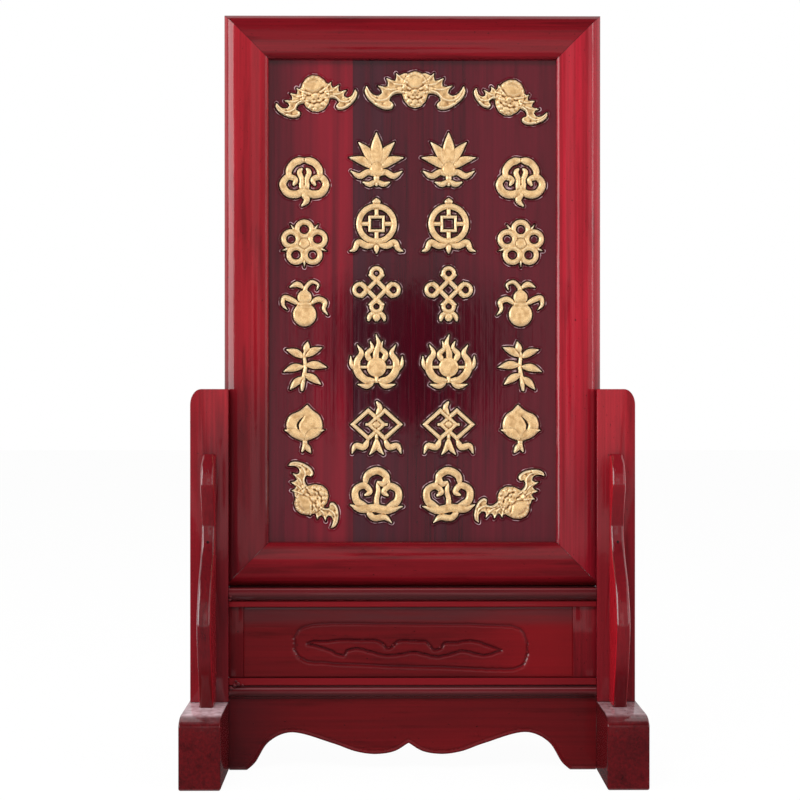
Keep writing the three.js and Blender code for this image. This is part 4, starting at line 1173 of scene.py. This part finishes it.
# The bats. A wing is in units of its reach from its root, from the head along the finger tips and back

BAT_WING = [
    (-0.1, 0.24), (0.05, 0.27), (0.13, 0.24), (0.19, 0.22), (0.26, 0.28), (0.25, 0.18), (0.28, 0.09),
    (0.37, 0.11), (0.49, 0.16), (0.45, 0.06), (0.46, -0.04), (0.56, -0.05), (0.7, -0.02), (0.61, -0.11),
    (0.59, -0.2), (0.68, -0.26), (0.79, -0.24), (0.88, -0.16), (0.96, -0.03), (1, -0.15), (0.94, -0.3),
    (0.81, -0.43), (0.64, -0.54), (0.49, -0.58), (0.37, -0.56), (0.32, -0.49), (0.35, -0.43), (0.42, -0.38),
    (0.4, -0.3), (0.31, -0.22), (0.17, -0.2), (-0.1, -0.24),
]
WING_RIBS = [
    [(0.0, 0.04), (0.14, 0.14), (0.255, 0.265)],
    [(0.04, -0.02), (0.28, 0.02), (0.475, 0.15)],
    [(0.08, -0.06), (0.4, -0.12), (0.68, -0.03)],
    [(0.1, -0.1), (0.34, -0.2), (0.48, -0.34), (0.66, -0.38), (0.84, -0.28), (0.95, -0.06)],
]
WING_RIMS = [
    [(0.975, -0.13), (0.92, -0.27), (0.79, -0.4), (0.63, -0.5), (0.5, -0.54), (0.38, -0.52), (0.35, -0.47)],
    [(0.02, -0.19), (0.18, -0.165), (0.31, -0.185), (0.41, -0.29)],
]
WING_HOLLOWS = [(0.18, 0.12, 0.06), (0.33, 0.05, 0.06), (0.52, -0.07, 0.05), (0.5, -0.24, 0.06),
                (0.72, -0.31, 0.045), (0.58, -0.45, 0.05), (0.76, -0.42, 0.04), (0.24, -0.1, 0.05)]
WING_DROP = 0.8 * MM
WING_HOLLOW_DEPTH = 0.95 * MM
RIB_WIDTH = 0.024
RIB_LIFT = 1.0 * MM
RIM_WIDTH = 0.026
RIM_LIFT = 0.8 * MM
HEAD_HIGH = 11.4
HEAD_DROP = 0.9 * MM
HEAD_GROOVE = 1.0 * MM
SCALLOPS = 7
SCALLOP_LIFT = 0.022
BALL_FULLNESS = 0.65
LEAST_HEIGHT = 0.7 * MM

# The face, in units of the head's half width and half height: balls with a lift, grooves with a depth in mm

FACE_BALLS = [
    (0.0, 0.4, 0.86, 0.6, 2.0), (0.46, 0.03, 0.2, 0.12, 0.5), (0.0, -0.16, 0.2, 0.2, 1.3),
    (0.18, -0.26, 0.13, 0.1, 0.6), (0.52, -0.24, 0.26, 0.17, 1.2), (0.82, 0.1, 0.17, 0.16, 1.1),
    (0.24, -0.44, 0.2, 0.12, 0.7), (0.0, -0.68, 0.26, 0.16, 1.1), (0.4, -0.63, 0.19, 0.14, 1.0),
    (0.68, -0.47, 0.17, 0.14, 0.9), (0.2, -0.87, 0.17, 0.1, 0.7), (0.55, -0.76, 0.14, 0.1, 0.6),
    (0.92, -0.18, 0.1, 0.12, 0.6),
]
CROWN_BALLS = [(0.0, 0.97), (0.3, 0.92), (0.57, 0.78), (0.78, 0.57), (0.91, 0.33)]
CROWN_BALL = (0.16, 0.13, 0.6)
FACE_GROOVES = [
    ([(0.0, 0.02), (0.2, 0.02), (0.45, 0.14), (0.62, 0.24)], 0.08, 1.1),
    ([(0.32, -0.06), (0.44, -0.08), (0.55, -0.03)], 0.07, 1.2),
    ([(0.0, -0.52), (0.2, -0.56), (0.42, -0.48), (0.56, -0.42)], 0.065, 1.1),
    ([(0.14, -0.3), (0.2, -0.36)], 0.06, 0.8),
]
CROWN_FOLD = ([(-0.34, 0.68), (-0.12, 0.75), (0.12, 0.74), (0.3, 0.66)], 0.09, 0.7)


def bat_field(half, wings, tilt):
    """Ball of a head with a brow, ears, eyes, snout and curled chin between two ribbed wings."""
    ct, st = math.cos(math.radians(tilt)), math.sin(math.radians(tilt))

    def turned(points):
        return np.array([((x * ct - z * st) * MM, (x * st + z * ct) * MM) for x, z in points])

    def on_wing(points, k):
        out, up, reach, droop = wings[k]
        side = 1 if k else -1
        c, s = math.cos(math.radians(droop)) * reach, math.sin(math.radians(droop)) * reach
        return turned([(side * (out + u * c + v * s), up - u * s + v * c) for u, v in points])

    def on_head(points):
        return turned([(x * half, z * HEAD_HIGH) for x, z in points])

    def groove(points, width, cut):
        field.line(points, width * half * MM, -cut * MM)

    turns = np.linspace(0, 2 * math.pi, 120, endpoint=False)
    edge = 1 + SCALLOP_LIFT * (np.abs(np.sin(turns * SCALLOPS)) - 0.5)
    head = on_head(list(zip(edge * np.cos(turns), edge * np.sin(turns))))
    loops = [on_wing(smooth_loop(BAT_WING), k) for k in (0, 1)]
    field, middle = relief_over(np.vstack(loops + [head]))
    for loop in loops:
        field.add([loop], form=lambda depth: pillow(depth) - WING_DROP * ease(depth, 0, SHOULDER))
    for k in (0, 1):
        reach = wings[k][2] * MM
        for u, v, size in WING_HOLLOWS:
            at = on_wing([(u, v)], k)[0]
            away = ((field.x - at[0])**2 + (field.z - at[1])**2) / (size * reach)**2
            field.height -= WING_HOLLOW_DEPTH * np.exp(-away) * (field.depth > 0)
        for ridges, width, lift in ((WING_RIBS, RIB_WIDTH, RIB_LIFT), (WING_RIMS, RIM_WIDTH, RIM_LIFT)):
            for ridge in ridges:
                field.line(smooth_line(on_wing(ridge, k), 5), width * reach, lift)
    field.add([head], form=lambda depth: pillow(depth) - HEAD_DROP, groove=HEAD_GROOVE)
    u = (field.x * ct + field.z * st) / (half * MM)
    v = (-field.x * st + field.z * ct) / (HEAD_HIGH * MM)
    on_face = u**2 + v**2 < 1
    balls = [(*ball, on_face) for ball in FACE_BALLS]
    balls += [(*place, *CROWN_BALL, field.depth > 0) for place in CROWN_BALLS]
    for x, z, wide, tall, lift, within in balls:
        for across in sorted({x, -x}):
            away = ((u - across) / wide)**2 + ((v - z) / tall)**2
            field.height += lift * MM * np.maximum(1 - away, 0)**BALL_FULLNESS * within
    for line, width, cut in FACE_GROOVES:
        left = smooth_line(on_head([(-x, z) for x, z in line[::-1]]), 6)
        right = smooth_line(on_head(line), 6)
        if line[0][0] == 0:
            groove(np.vstack((left, right[1:])), width, cut)
        else:
            groove(left, width, cut)
            groove(right, width, cut)
    fold, width, cut = CROWN_FOLD
    groove(smooth_line(on_head(fold), 6), width, cut)
    field.height = np.maximum(field.height, LEAST_HEIGHT * (field.depth > 0))
    field.soften()
    return field, middle


# Each wing: its root's distance from the middle and height, its reach, and its droop in degrees

CENTRE_WING = (5.2, 3, 26.8, 0)
SIDE_OUTER_WING = (5.4, 0, 21.1, 3)
SIDE_INNER_WING = (4.4, 0.3, 18.6, 2)
CORNER_HIGH_WING = (6, 2, 21, 1)
CORNER_LOW_WING = (2.6, 1, 20.2, 4)
CORNER_WIDE_WING = (6, -3, 20, 7)

# Each bat: half the width of its head, its wings, and its tilt

BATS = {
    "bat_top_centre": (8.3, (CENTRE_WING, CENTRE_WING), 0),
    "bat_top_left": (9, (SIDE_OUTER_WING, SIDE_OUTER_WING), 10),
    "bat_top_right": (9, (SIDE_INNER_WING, SIDE_OUTER_WING), -18),
    "bat_bottom_left": (8.6, (CORNER_LOW_WING, CORNER_HIGH_WING), 122),
    "bat_bottom_right": (8.6, (CORNER_HIGH_WING, CORNER_WIDE_WING), -137),
}


def make_bats():
    for name, (half, wings, tilt) in BATS.items():
        place_relief(name, *bat_field(half, wings, tilt))


# The panel, with a groove cut round every carved piece

PANEL_CELL = 0.32 * MM
PANEL_BLOCK = 4
FLAT_WITHIN = 1e-7
GROOVE_DEEP = 0.85 * MM
GROOVE_FLOOR = 0.35 * MM
GROOVE_REACH = 0.95 * MM
POOL_AT = 1.3 * MM
POOL_WIDTH = 0.4 * MM
POOL_HIGH = 0.36 * MM
POOL_LEAST = 0.01


def block_grid(low, high, cell, block):
    """Grid lines across and up a face, in whole blocks of cells."""
    spans = []
    for first, last in ((low.x, high.x), (low.z, high.z)):
        spans.append(np.linspace(first, last, int(round((last - first) / cell / block)) * block + 1))
    return spans


def panel_depths(xs, zs):
    """Depth of the groove below the panel's face over its grid."""
    nearest = np.full((len(xs), len(zs)), FAR_OUT)
    for field, centre in carved_fields:
        gx = (xs - centre[0] - field.start[0]) / RELIEF_CELL
        gz = (zs - centre[1] - field.start[1]) / RELIEF_CELL
        ix = np.nonzero((gx >= 0) & (gx < field.x.shape[0] - 1))[0]
        iz = np.nonzero((gz >= 0) & (gz < field.x.shape[1] - 1))[0]
        fx, fz = gx[ix][:, None], gz[iz][None, :]
        i, j = fx.astype(int), fz.astype(int)
        s, t = fx - i, fz - j
        d = field.depth
        value = (d[i, j] * (1 - s) * (1 - t) + d[i + 1, j] * s * (1 - t)
                 + d[i, j + 1] * (1 - s) * t + d[i + 1, j + 1] * s * t)
        at = np.ix_(ix, iz)
        nearest[at] = np.maximum(nearest[at], value)
    groove = GROOVE_DEEP * (1 - ease(-nearest, GROOVE_FLOOR, GROOVE_REACH))
    pool = POOL_HIGH * np.exp(-((-nearest - POOL_AT) / POOL_WIDTH)**2)
    return np.where(pool > POOL_LEAST * POOL_HIGH, groove - pool, groove)


def field_plate(xs, zs, face, depths, back, block):
    """A plate whose face is a fine grid where it is carved and coarse blocks where it is flat."""
    bm = bmesh.new()
    made = {}

    def vert(i, j):
        if (i, j) not in made:
            made[i, j] = bm.verts.new((xs[i], face + depths[i, j], zs[j]))
        return made[i, j]

    def around(i0, j0, i1, j1):
        """The grid's points along the four sides of a rectangle, in order."""
        return ([(i, j0) for i in range(i0, i1)] + [(i1, j) for j in range(j0, j1)]
                + [(i, j1) for i in range(i1, i0, -1)] + [(i0, j) for j in range(j1, j0, -1)])

    last_i, last_j = len(xs) - 1, len(zs) - 1
    flat = []
    for i0 in range(0, last_i, block):
        for j0 in range(0, last_j, block):
            i1, j1 = i0 + block, j0 + block
            patch = depths[i0:i1 + 1, j0:j1 + 1]
            if patch.max() - patch.min() <= FLAT_WITHIN:
                flat.append((i0, j0, i1, j1))
                continue
            for i in range(i0, i1):
                for j in range(j0, j1):
                    bm.faces.new((vert(i, j), vert(i + 1, j), vert(i + 1, j + 1), vert(i, j + 1)))
    for i0, j0, i1, j1 in flat:
        corners = {(i0, j0), (i1, j0), (i1, j1), (i0, j1)}
        bm.faces.new([vert(*p) for p in around(i0, j0, i1, j1) if p in corners or p in made])
    front = [made[p] for p in around(0, 0, last_i, last_j) if p in made]
    behind = [bm.verts.new((v.co.x, back, v.co.z)) for v in front]
    for k in range(len(front)):
        bm.faces.new((front[k], front[k - 1], behind[k - 1], behind[k]))
    bm.faces.new(behind)
    return bm


def make_panel():
    low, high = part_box("tablet_panel")
    xs, zs = block_grid(low, high, PANEL_CELL, PANEL_BLOCK)
    bm = field_plate(xs, zs, low.y, panel_depths(xs, zs), high.y, PANEL_BLOCK)
    finish_mesh("tablet_panel_carved", bm, "tablet", panel_stain, "tablet_panel",
                smooth_angle=50.0)


# Lacquered joinery

ARRIS_STEPS = 4


def loop_normals(loop):
    """Inward offset directions of a closed loop that runs counter-clockwise."""
    ahead = np.roll(loop, -1, axis=0) - loop
    ahead /= np.maximum(np.linalg.norm(ahead, axis=1), 1e-12)[:, None]
    side = np.column_stack((-ahead[:, 1], ahead[:, 0]))
    mean = side + np.roll(side, 1, axis=0)
    mean /= np.maximum(np.linalg.norm(mean, axis=1), 1e-9)[:, None]
    spread = np.maximum((mean * side).sum(1), 0.55)
    return mean / spread[:, None]


def skin(bm, rings):
    """Joins rings of points into one closed surface."""
    for first, second in zip(rings, rings[1:]):
        for k in range(len(first)):
            bm.faces.new((first[k - 1], first[k], second[k], second[k - 1]))
    bm.faces.new(rings[0])
    bm.faces.new(rings[-1])


def rounded_plate(loop, low, high, radius, eased_at=lambda point: 1.0):
    """A closed loop of depths and heights drawn out from left to right, with both of its arrises rounded.
    eased_at gives each point's share of the radius, so that seats stay sharp."""
    loop = np.asarray(loop, float)
    after = np.roll(loop, -1, axis=0)
    if (loop[:, 0] * after[:, 1] - after[:, 0] * loop[:, 1]).sum() < 0:
        loop = loop[::-1]
    inward = loop_normals(loop) * np.array([eased_at(point) for point in loop])[:, None]
    sections = []
    for k in range(ARRIS_STEPS + 1):
        turn = math.pi / 2 * k / ARRIS_STEPS
        sections.append((low + radius * (1 - math.cos(turn)), radius * (1 - math.sin(turn))))
    sections += [(high - (x - low), inset) for x, inset in reversed(sections)]
    bm = bmesh.new()
    skin(bm, [[bm.verts.new((x, p[0], p[1])) for p in loop + inward * inset] for x, inset in sections])
    return bm


def arc(centre, radii, start, end, steps):
    turns = np.radians(np.linspace(start, end, steps))
    return [(centre[0] + radii[0] * math.cos(t), centre[1] + radii[1] * math.sin(t)) for t in turns]


FOOT_HALF = 70 * MM
FOOT_TOP = 44 * MM
TOE_RUN = 14 * MM
TOE_FALL = 6 * MM
SOLE_CHAMFER = 0.5 * MM
FOOT_ARRIS = 1.3 * MM


def make_foot(side):
    name = "foot_" + side
    low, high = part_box(name)
    toe_z = FOOT_TOP - TOE_FALL
    loop = [(SOLE_CHAMFER - FOOT_HALF, 0), (FOOT_HALF - SOLE_CHAMFER, 0), (FOOT_HALF, SOLE_CHAMFER)]
    loop += arc((FOOT_HALF - TOE_RUN, toe_z), (TOE_RUN, TOE_FALL), 0, 90, 14)
    loop += arc((TOE_RUN - FOOT_HALF, toe_z), (TOE_RUN, TOE_FALL), 90, 180, 14)
    loop += [(-FOOT_HALF, SOLE_CHAMFER)]
    bm = rounded_plate(loop, low.x, high.x, FOOT_ARRIS)
    finish_mesh(name + "_dressed", bm, "stand", red_foot[side], name)


SPANDREL_ARRIS = 2.5 * MM
SPANDREL_REACH = 35 * MM
SEAT_SHARE = 0.15
SPANDREL_PROFILE = [
    (0, 0.54), (0.05, 0.61), (0.17, 0.83), (0.34, 1), (0.49, 0.76), (0.62, 0.29), (0.71, 0.17),
    (0.79, 0.26), (0.88, 0.41), (0.955, 0.31), (1, 0.12),
]


def make_spandrel(place, side):
    name = "spandrel_" + place + "_" + side
    low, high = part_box(name)
    end = -1 if place == "front" else 1
    seat = high.y if place == "front" else low.y
    tall = high.z - low.z
    points = [(seat + end * reach * SPANDREL_REACH, low.z + rise * tall) for rise, reach in SPANDREL_PROFILE]
    curve = smooth_line(points, 9)
    loop = np.vstack(([(seat, low.z)], curve, [(seat, high.z)]))

    def eased_at(point):
        seated = abs(point[0] - seat) < SAME_POINT or point[1] < low.z + SAME_POINT
        return SEAT_SHARE if seated else 1.0

    bm = rounded_plate(loop, low.x, high.x, SPANDREL_ARRIS, eased_at)
    finish_mesh(name + "_dressed", bm, "stand", red_spandrel, name)


RAIL_FACE = 16.9 * MM
FILLET_FACE = RAIL_FILLET * MM
RAIL_GROOVE = 1.2 * MM
RAIL_ARRIS = 0.15 * MM
EDGE_CHAMFER = 0.35 * MM
UPPER_NOSE = 8 * MM
LOWER_BEAD = 5.6 * MM
LOWER_FILLET = 4.4 * MM
DRIP_SUNK = 0.5 * MM
DRIP_FORM = (1.0, 0.75, 0.85, 1.0)
UPPER_DRIPS = [(-115.2, 110.6, 1.1), (-115.5, 108.6, 0.9)]
LOWER_DRIPS = [
    (-115.0, 52.6, 1.5), (-112.6, 54.4, 1.2), (-110.4, 55.4, 1.3), (-107.6, 54.6, 0.9), (-111.8, 57.2, 0.9),
]


def nose(low, high, depth):
    """A bullnose between two heights, as front distances from the middle and heights."""
    radius = (high - low) / 2
    return arc((depth - radius, (low + high) / 2), (radius, radius), -90, 90, 13)


def lacquer_drips(bm, drips, y):
    """Beads of lacquer that have run together and set on a front face."""
    for x, z, size in drips:
        place = Matrix.Translation((x * MM, y, z * MM)) @ Matrix.Diagonal(DRIP_FORM)
        bmesh.ops.create_uvsphere(bm, u_segments=16, v_segments=10, radius=size * MM, matrix=place)


def fillet(low, high):
    """A flat band with chamfered edges, given like the bullnose."""
    face, ease_by = FILLET_FACE, EDGE_CHAMFER
    return [(face - ease_by, low), (face, low + ease_by), (face, high - ease_by), (face - ease_by, high)]


def make_rail(name, front, drips):
    shoulder = abs(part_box("waist_stile_left")[0].x)
    loop = [(-y, z) for y, z in front] + [(y, z) for y, z in reversed(front)]
    bm = rounded_plate(loop, -shoulder, shoulder, RAIL_ARRIS)
    lacquer_drips(bm, drips, DRIP_SUNK - RAIL_FACE)
    finish_mesh(name + "_dressed", bm, "stand", dark_along_x, name)


def make_rails():
    groove = FILLET_FACE - RAIL_GROOVE
    low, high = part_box("upper_rail")
    nose_low = high.z - UPPER_NOSE
    band = fillet(low.z, nose_low - RAIL_GROOVE / 2)
    make_rail("upper_rail", [*band, (groove, nose_low), *nose(nose_low, high.z, RAIL_FACE)[1:]], UPPER_DRIPS)
    low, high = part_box("lower_rail")
    bead_low = low.z + RAIL_GROOVE
    bead_high = bead_low + LOWER_BEAD
    fillet_low = high.z - LOWER_FILLET
    make_rail("lower_rail", [
        (groove, low.z), *nose(bead_low, bead_high, RAIL_FACE), (groove, (bead_high + fillet_low) / 2),
        *fillet(fillet_low, high.z),
    ], LOWER_DRIPS)


FRAME_FACE = 28.4 * MM
EDGE_FALL = 8 * MM
LIP_FALL = 3 * MM
FRAME_CROWN = -12 * MM
FRAME_BACK = 12 * MM
BACK_CHAMFER = 1 * MM
FRONT_EASE = 0.5 * MM
FRONT_SET = 0.2 * MM
MITRE_GAP = 0.05 * MM
CROWN_PROFILE = [(0, 1), (0.04, 0.78), (0.14, 0.43), (0.29, 0.17), (0.48, 0.04), (0.66, 0)]
LIP_PROFILE = [(0.84, 0.17), (0.945, 0.5), (1, 1)]
FRAME_STATIONS = 40


def frame_profile():
    """The moulding from the back of the outer edge over the crown to the panel: inset and depth."""
    crown = [(share * FRAME_FACE, FRAME_CROWN + fall * EDGE_FALL) for share, fall in CROWN_PROFILE]
    lip = [(share * FRAME_FACE, FRAME_CROWN + fall * LIP_FALL) for share, fall in LIP_PROFILE]
    front = smooth_line(crown + lip, 7)
    outer = [(BACK_CHAMFER, FRAME_BACK), (0, FRAME_BACK - BACK_CHAMFER), (0, front[0][1] + FRONT_EASE)]
    inner = [(FRAME_FACE, front[-1][1] + FRONT_EASE), (FRAME_FACE, FRAME_BACK - FRONT_EASE),
             (FRAME_FACE - FRONT_EASE, FRAME_BACK)]
    front[0][0] += FRONT_SET
    front[-1][0] -= FRONT_SET
    return np.vstack((outer, front, inner))


def make_frame_piece(name, run, end, material):
    """One side of the frame: run 0 for the rails and 1 for the stiles, end +1 for the top or the right."""
    low = [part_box("frame_left_stile")[0].x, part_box("frame_bottom_rail")[0].z]
    high = [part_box("frame_right_stile")[1].x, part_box("frame_top_rail")[1].z]
    profile = frame_profile()
    bm = bmesh.new()
    rings = []
    for share in np.linspace(0, 1, FRAME_STATIONS + 1):
        section = []
        for inset, depth in profile:
            start = low[run] + inset + MITRE_GAP
            stop = high[run] - inset - MITRE_GAP
            edge = (high[1 - run] - inset) if end > 0 else (low[1 - run] + inset)
            x, z = (start + (stop - start) * share, edge)[::-1 if run else 1]
            section.append(bm.verts.new((x, depth, z)))
        rings.append(section)
    skin(bm, rings)
    finish_mesh(name + "_dressed", bm, "tablet", material, name)


APRON_THICK = 14 * MM
APRON_BACK = 1 * MM
APRON_HALF = 116.4 * MM
APRON_SHIFT = -2.6
APRON_ARCH = [
    (102.5, 0), (97.5, 4.6), (88.95, 17.612), (75.4, 23.8), (48.3, 16.9), (33.2, 11.6), (21.2, 10), (9, 11.8),
    (0, 17.1),
]
APRON_CELL = 0.5 * MM
BEAD_WIDTH = 2.3 * MM
BEAD_FALL = 1.3 * MM
BEAD_CUT = 0.55 * MM
BEAD_CUT_WIDTH = 0.506 * MM


def apron_edge():
    """The scalloped lower edge from left to right."""
    left, right = [smooth_line([((side * x + APRON_SHIFT) * MM, z * MM) for x, z in APRON_ARCH], 12)
                   for side in (-1, 1)]
    scallop = np.maximum(np.vstack((left, right[::-1][1:])), (-APRON_HALF, 0))
    return np.vstack(([(-APRON_HALF, 0)], scallop, [(APRON_HALF, 0)]))


def make_apron():
    low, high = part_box("apron")
    edge = apron_edge()
    field = Relief(np.arange(-APRON_HALF - APRON_CELL, APRON_HALF + 2 * APRON_CELL, APRON_CELL),
                   np.arange(-APRON_CELL, high.z + 2 * APRON_CELL, APRON_CELL))
    loop = np.vstack((edge, [(APRON_HALF, high.z), (-APRON_HALF, high.z)]))
    field.depth = shape_depth(field.x, field.z, [loop])

    def fall(x, z):
        """The bead along the scallop and the fine groove behind it."""
        away = line_distance(np.asarray(x), np.asarray(z), edge)
        t = np.clip(away / BEAD_WIDTH, 0, 1)
        bead = BEAD_FALL * (1 - np.sqrt(np.maximum(1 - (1 - np.minimum(t * 2, 1))**2, 0)))
        groove = BEAD_CUT * np.exp(-((away - BEAD_WIDTH) / BEAD_CUT_WIDTH)**2)
        return bead + groove

    field.height = APRON_THICK - fall(field.x, field.z)
    bm = relief_mesh(field, (0.0, 0.0), base=APRON_BACK, back=APRON_BACK,
                     rim=lambda x, z: APRON_THICK - float(fall(x, z)))
    finish_mesh("apron_dressed", bm, "stand", red_apron, "apron", smooth_angle=50.0)


# The waist board with its hand-cut cartouche

BOARD_CELL = 0.42 * MM
BOARD_BLOCK = 2
CARTOUCHE = [
    (-75.0, 80.0), (-74.4, 85.6), (-71.6, 89.4), (-66.0, 91.8), (-55.0, 92.8), (-30.0, 93.0), (0.0, 92.6),
    (30.0, 92.5), (55.0, 91.6), (64.0, 91.0), (69.4, 88.4), (72.0, 83.5), (72.9, 77.5), (72.3, 71.5),
    (70.0, 66.8), (64.8, 64.2), (50.0, 63.9), (30.0, 64.8), (0.0, 65.8), (-30.0, 66.8), (-58.0, 68.4),
    (-66.0, 68.9), (-71.0, 71.2), (-74.2, 75.0),
]
SCROLL = [
    (-66.8, 80.2), (-62.0, 81.7), (-57.6, 81.4), (-46.2, 82.5), (-33.5, 82.4), (-22.1, 81.9), (-18.9, 79.8),
    (-16.6, 77.4), (-14.0, 77.4), (-11.4, 79.8), (-8.7, 81.8), (1.4, 81.8), (9.0, 81.2), (11.2, 78.4),
    (13.7, 76.1), (17.6, 77.0), (20.4, 80.3), (27.5, 80.6), (34.0, 81.8), (41.0, 81.2), (49.1, 78.4),
    (56.0, 75.8), (51.6, 74.4), (46.1, 72.9), (40.2, 73.9), (31.5, 75.7), (23.6, 73.6), (15.3, 72.1),
    (7.8, 73.6), (0.7, 75.0), (-8.1, 73.6), (-17.1, 73.0), (-27.1, 75.4), (-34.9, 77.3), (-41.1, 76.2),
    (-43.9, 73.2), (-47.4, 73.6), (-52.5, 76.2), (-60.0, 78.6),
]
CARTOUCHE_CUT = 1.1 * MM
CARTOUCHE_GROOVE = 0.95 * MM
SCROLL_CUT = 1.2 * MM
SCROLL_RISE = 0.3 * MM
GROUND_DROP = 0.3 * MM
EDGE_DROP = 0.3 * MM
GROUND_SLOPE = 2.5 * MM
EDGE_SLOPE = 0.6 * MM
SCROLL_SLOPE = 1.6 * MM
SCROLL_INSIDE = 0.5 * MM
SCROLL_OUTSIDE = 0.9 * MM
CARTOUCHE_WANDER = 0.3 * MM
SCROLL_WANDER = 0.22 * MM

# Waves of a hand's unevenness across and up: the size, the pace and the turn of each

WAVES = (((1, 0.9, 1), (0.6, 2.3, 2), (0.4, 4.1, 1)), ((1, 1.1, 5), (0.6, 2.7, 1)))
NOTCH_DRIPS = [
    (-18.4, 79.2, 0.9), (-12.4, 79.2, 0.9), (-15.2, 77.6, 0.6), (11.0, 78.8, 0.8), (17.4, 77.8, 0.9),
]
BORDER_DRIPS = [
    (72.2, 81.6, 0.5), (73.0, 78.2, 0.6), (72.9, 74.8, 0.7), (72.3, 71.6, 0.7), (70.9, 68.4, 0.6),
    (-74.6, 76.4, 0.5), (-73.2, 72.8, 0.6), (-70.4, 70.6, 0.5),
]


def wander(line, reach, seed):
    """A hand's unevenness: moves the points of a smooth line by slow waves."""
    turn = np.cumsum(np.r_[0, np.linalg.norm(np.diff(line, axis=0), axis=1)]) / MM
    moves = [sum(size * np.sin(turn * pace + shift * seed) for size, pace, shift in waves) for waves in WAVES]
    return line + np.column_stack(moves) * reach / 2


def make_waist_board():
    """A groove along the cartouche's border, a sunk ground, and a scroll cut steeper on its inside."""
    low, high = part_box("waist_panel")
    xs, zs = block_grid(low, high, BOARD_CELL, BOARD_BLOCK)
    x, z = np.meshgrid(xs, zs, indexing="ij")
    border = wander(smooth_loop(np.array(CARTOUCHE) * MM, corner=120), CARTOUCHE_WANDER, 1.0)
    scroll = wander(smooth_loop(np.array(SCROLL) * MM, corner=75), SCROLL_WANDER, 2.0)
    inside = shape_depth(x, z, [border])
    on_scroll = shape_depth(x, z, [scroll])
    groove = np.where(on_scroll > 0, SCROLL_INSIDE, SCROLL_OUTSIDE)
    edge = np.minimum(np.minimum(x - low.x, high.x - x), np.minimum(z - low.z, high.z - z))
    depths = CARTOUCHE_CUT * np.exp(-(inside / CARTOUCHE_GROOVE)**2)
    depths += GROUND_DROP * ease(inside, 0, GROUND_SLOPE)
    depths += SCROLL_CUT * np.exp(-(on_scroll / groove)**2) - SCROLL_RISE * ease(on_scroll, 0, SCROLL_SLOPE)
    depths += EDGE_DROP * (1 - ease(edge, 0, EDGE_SLOPE))
    bm = field_plate(xs, zs, low.y, depths, high.y, BOARD_BLOCK)
    lacquer_drips(bm, NOTCH_DRIPS, low.y + 0.5 * MM)
    lacquer_drips(bm, BORDER_DRIPS, low.y + 0.2 * MM)
    finish_mesh("waist_panel_carved", bm, "stand", red_waist, "waist_panel", smooth_angle=60.0)


def make_stand():
    for side in SIDES:
        make_foot(side)
        eased("post_" + side, red_post[side], 1.0 * MM)
        for place in ("front", "rear"):
            make_spandrel(place, side)
        eased("waist_stile_" + side, low_along_z[side], 0.15 * MM, reach=0.1 * MM)
    make_waist_board()
    make_apron()
    make_rails()


def make_tablet():
    make_frame_piece("frame_left_stile", 1, -1, red_stile["left"])
    make_frame_piece("frame_right_stile", 1, 1, red_stile["right"])
    make_frame_piece("frame_top_rail", 0, 1, red_along_x)
    make_frame_piece("frame_bottom_rail", 0, -1, red_along_x)


def paint_the_rest():
    """The CAD nodes that stay as they are: brads, dowels and keys."""
    for name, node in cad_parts.items():
        if name.startswith(("brad_", "dowel_", "mitre_key_")):
            node.data.materials.clear()
            node.data.materials.append(steel if name.startswith("brad_") else plain_wood)


scene.view_settings.view_transform = "Standard"
make_camera()
make_world()
make_floor()
make_cards()
make_lamps()
make_stand()
make_tablet()
make_motifs()
make_bats()
make_panel()
paint_the_rest()
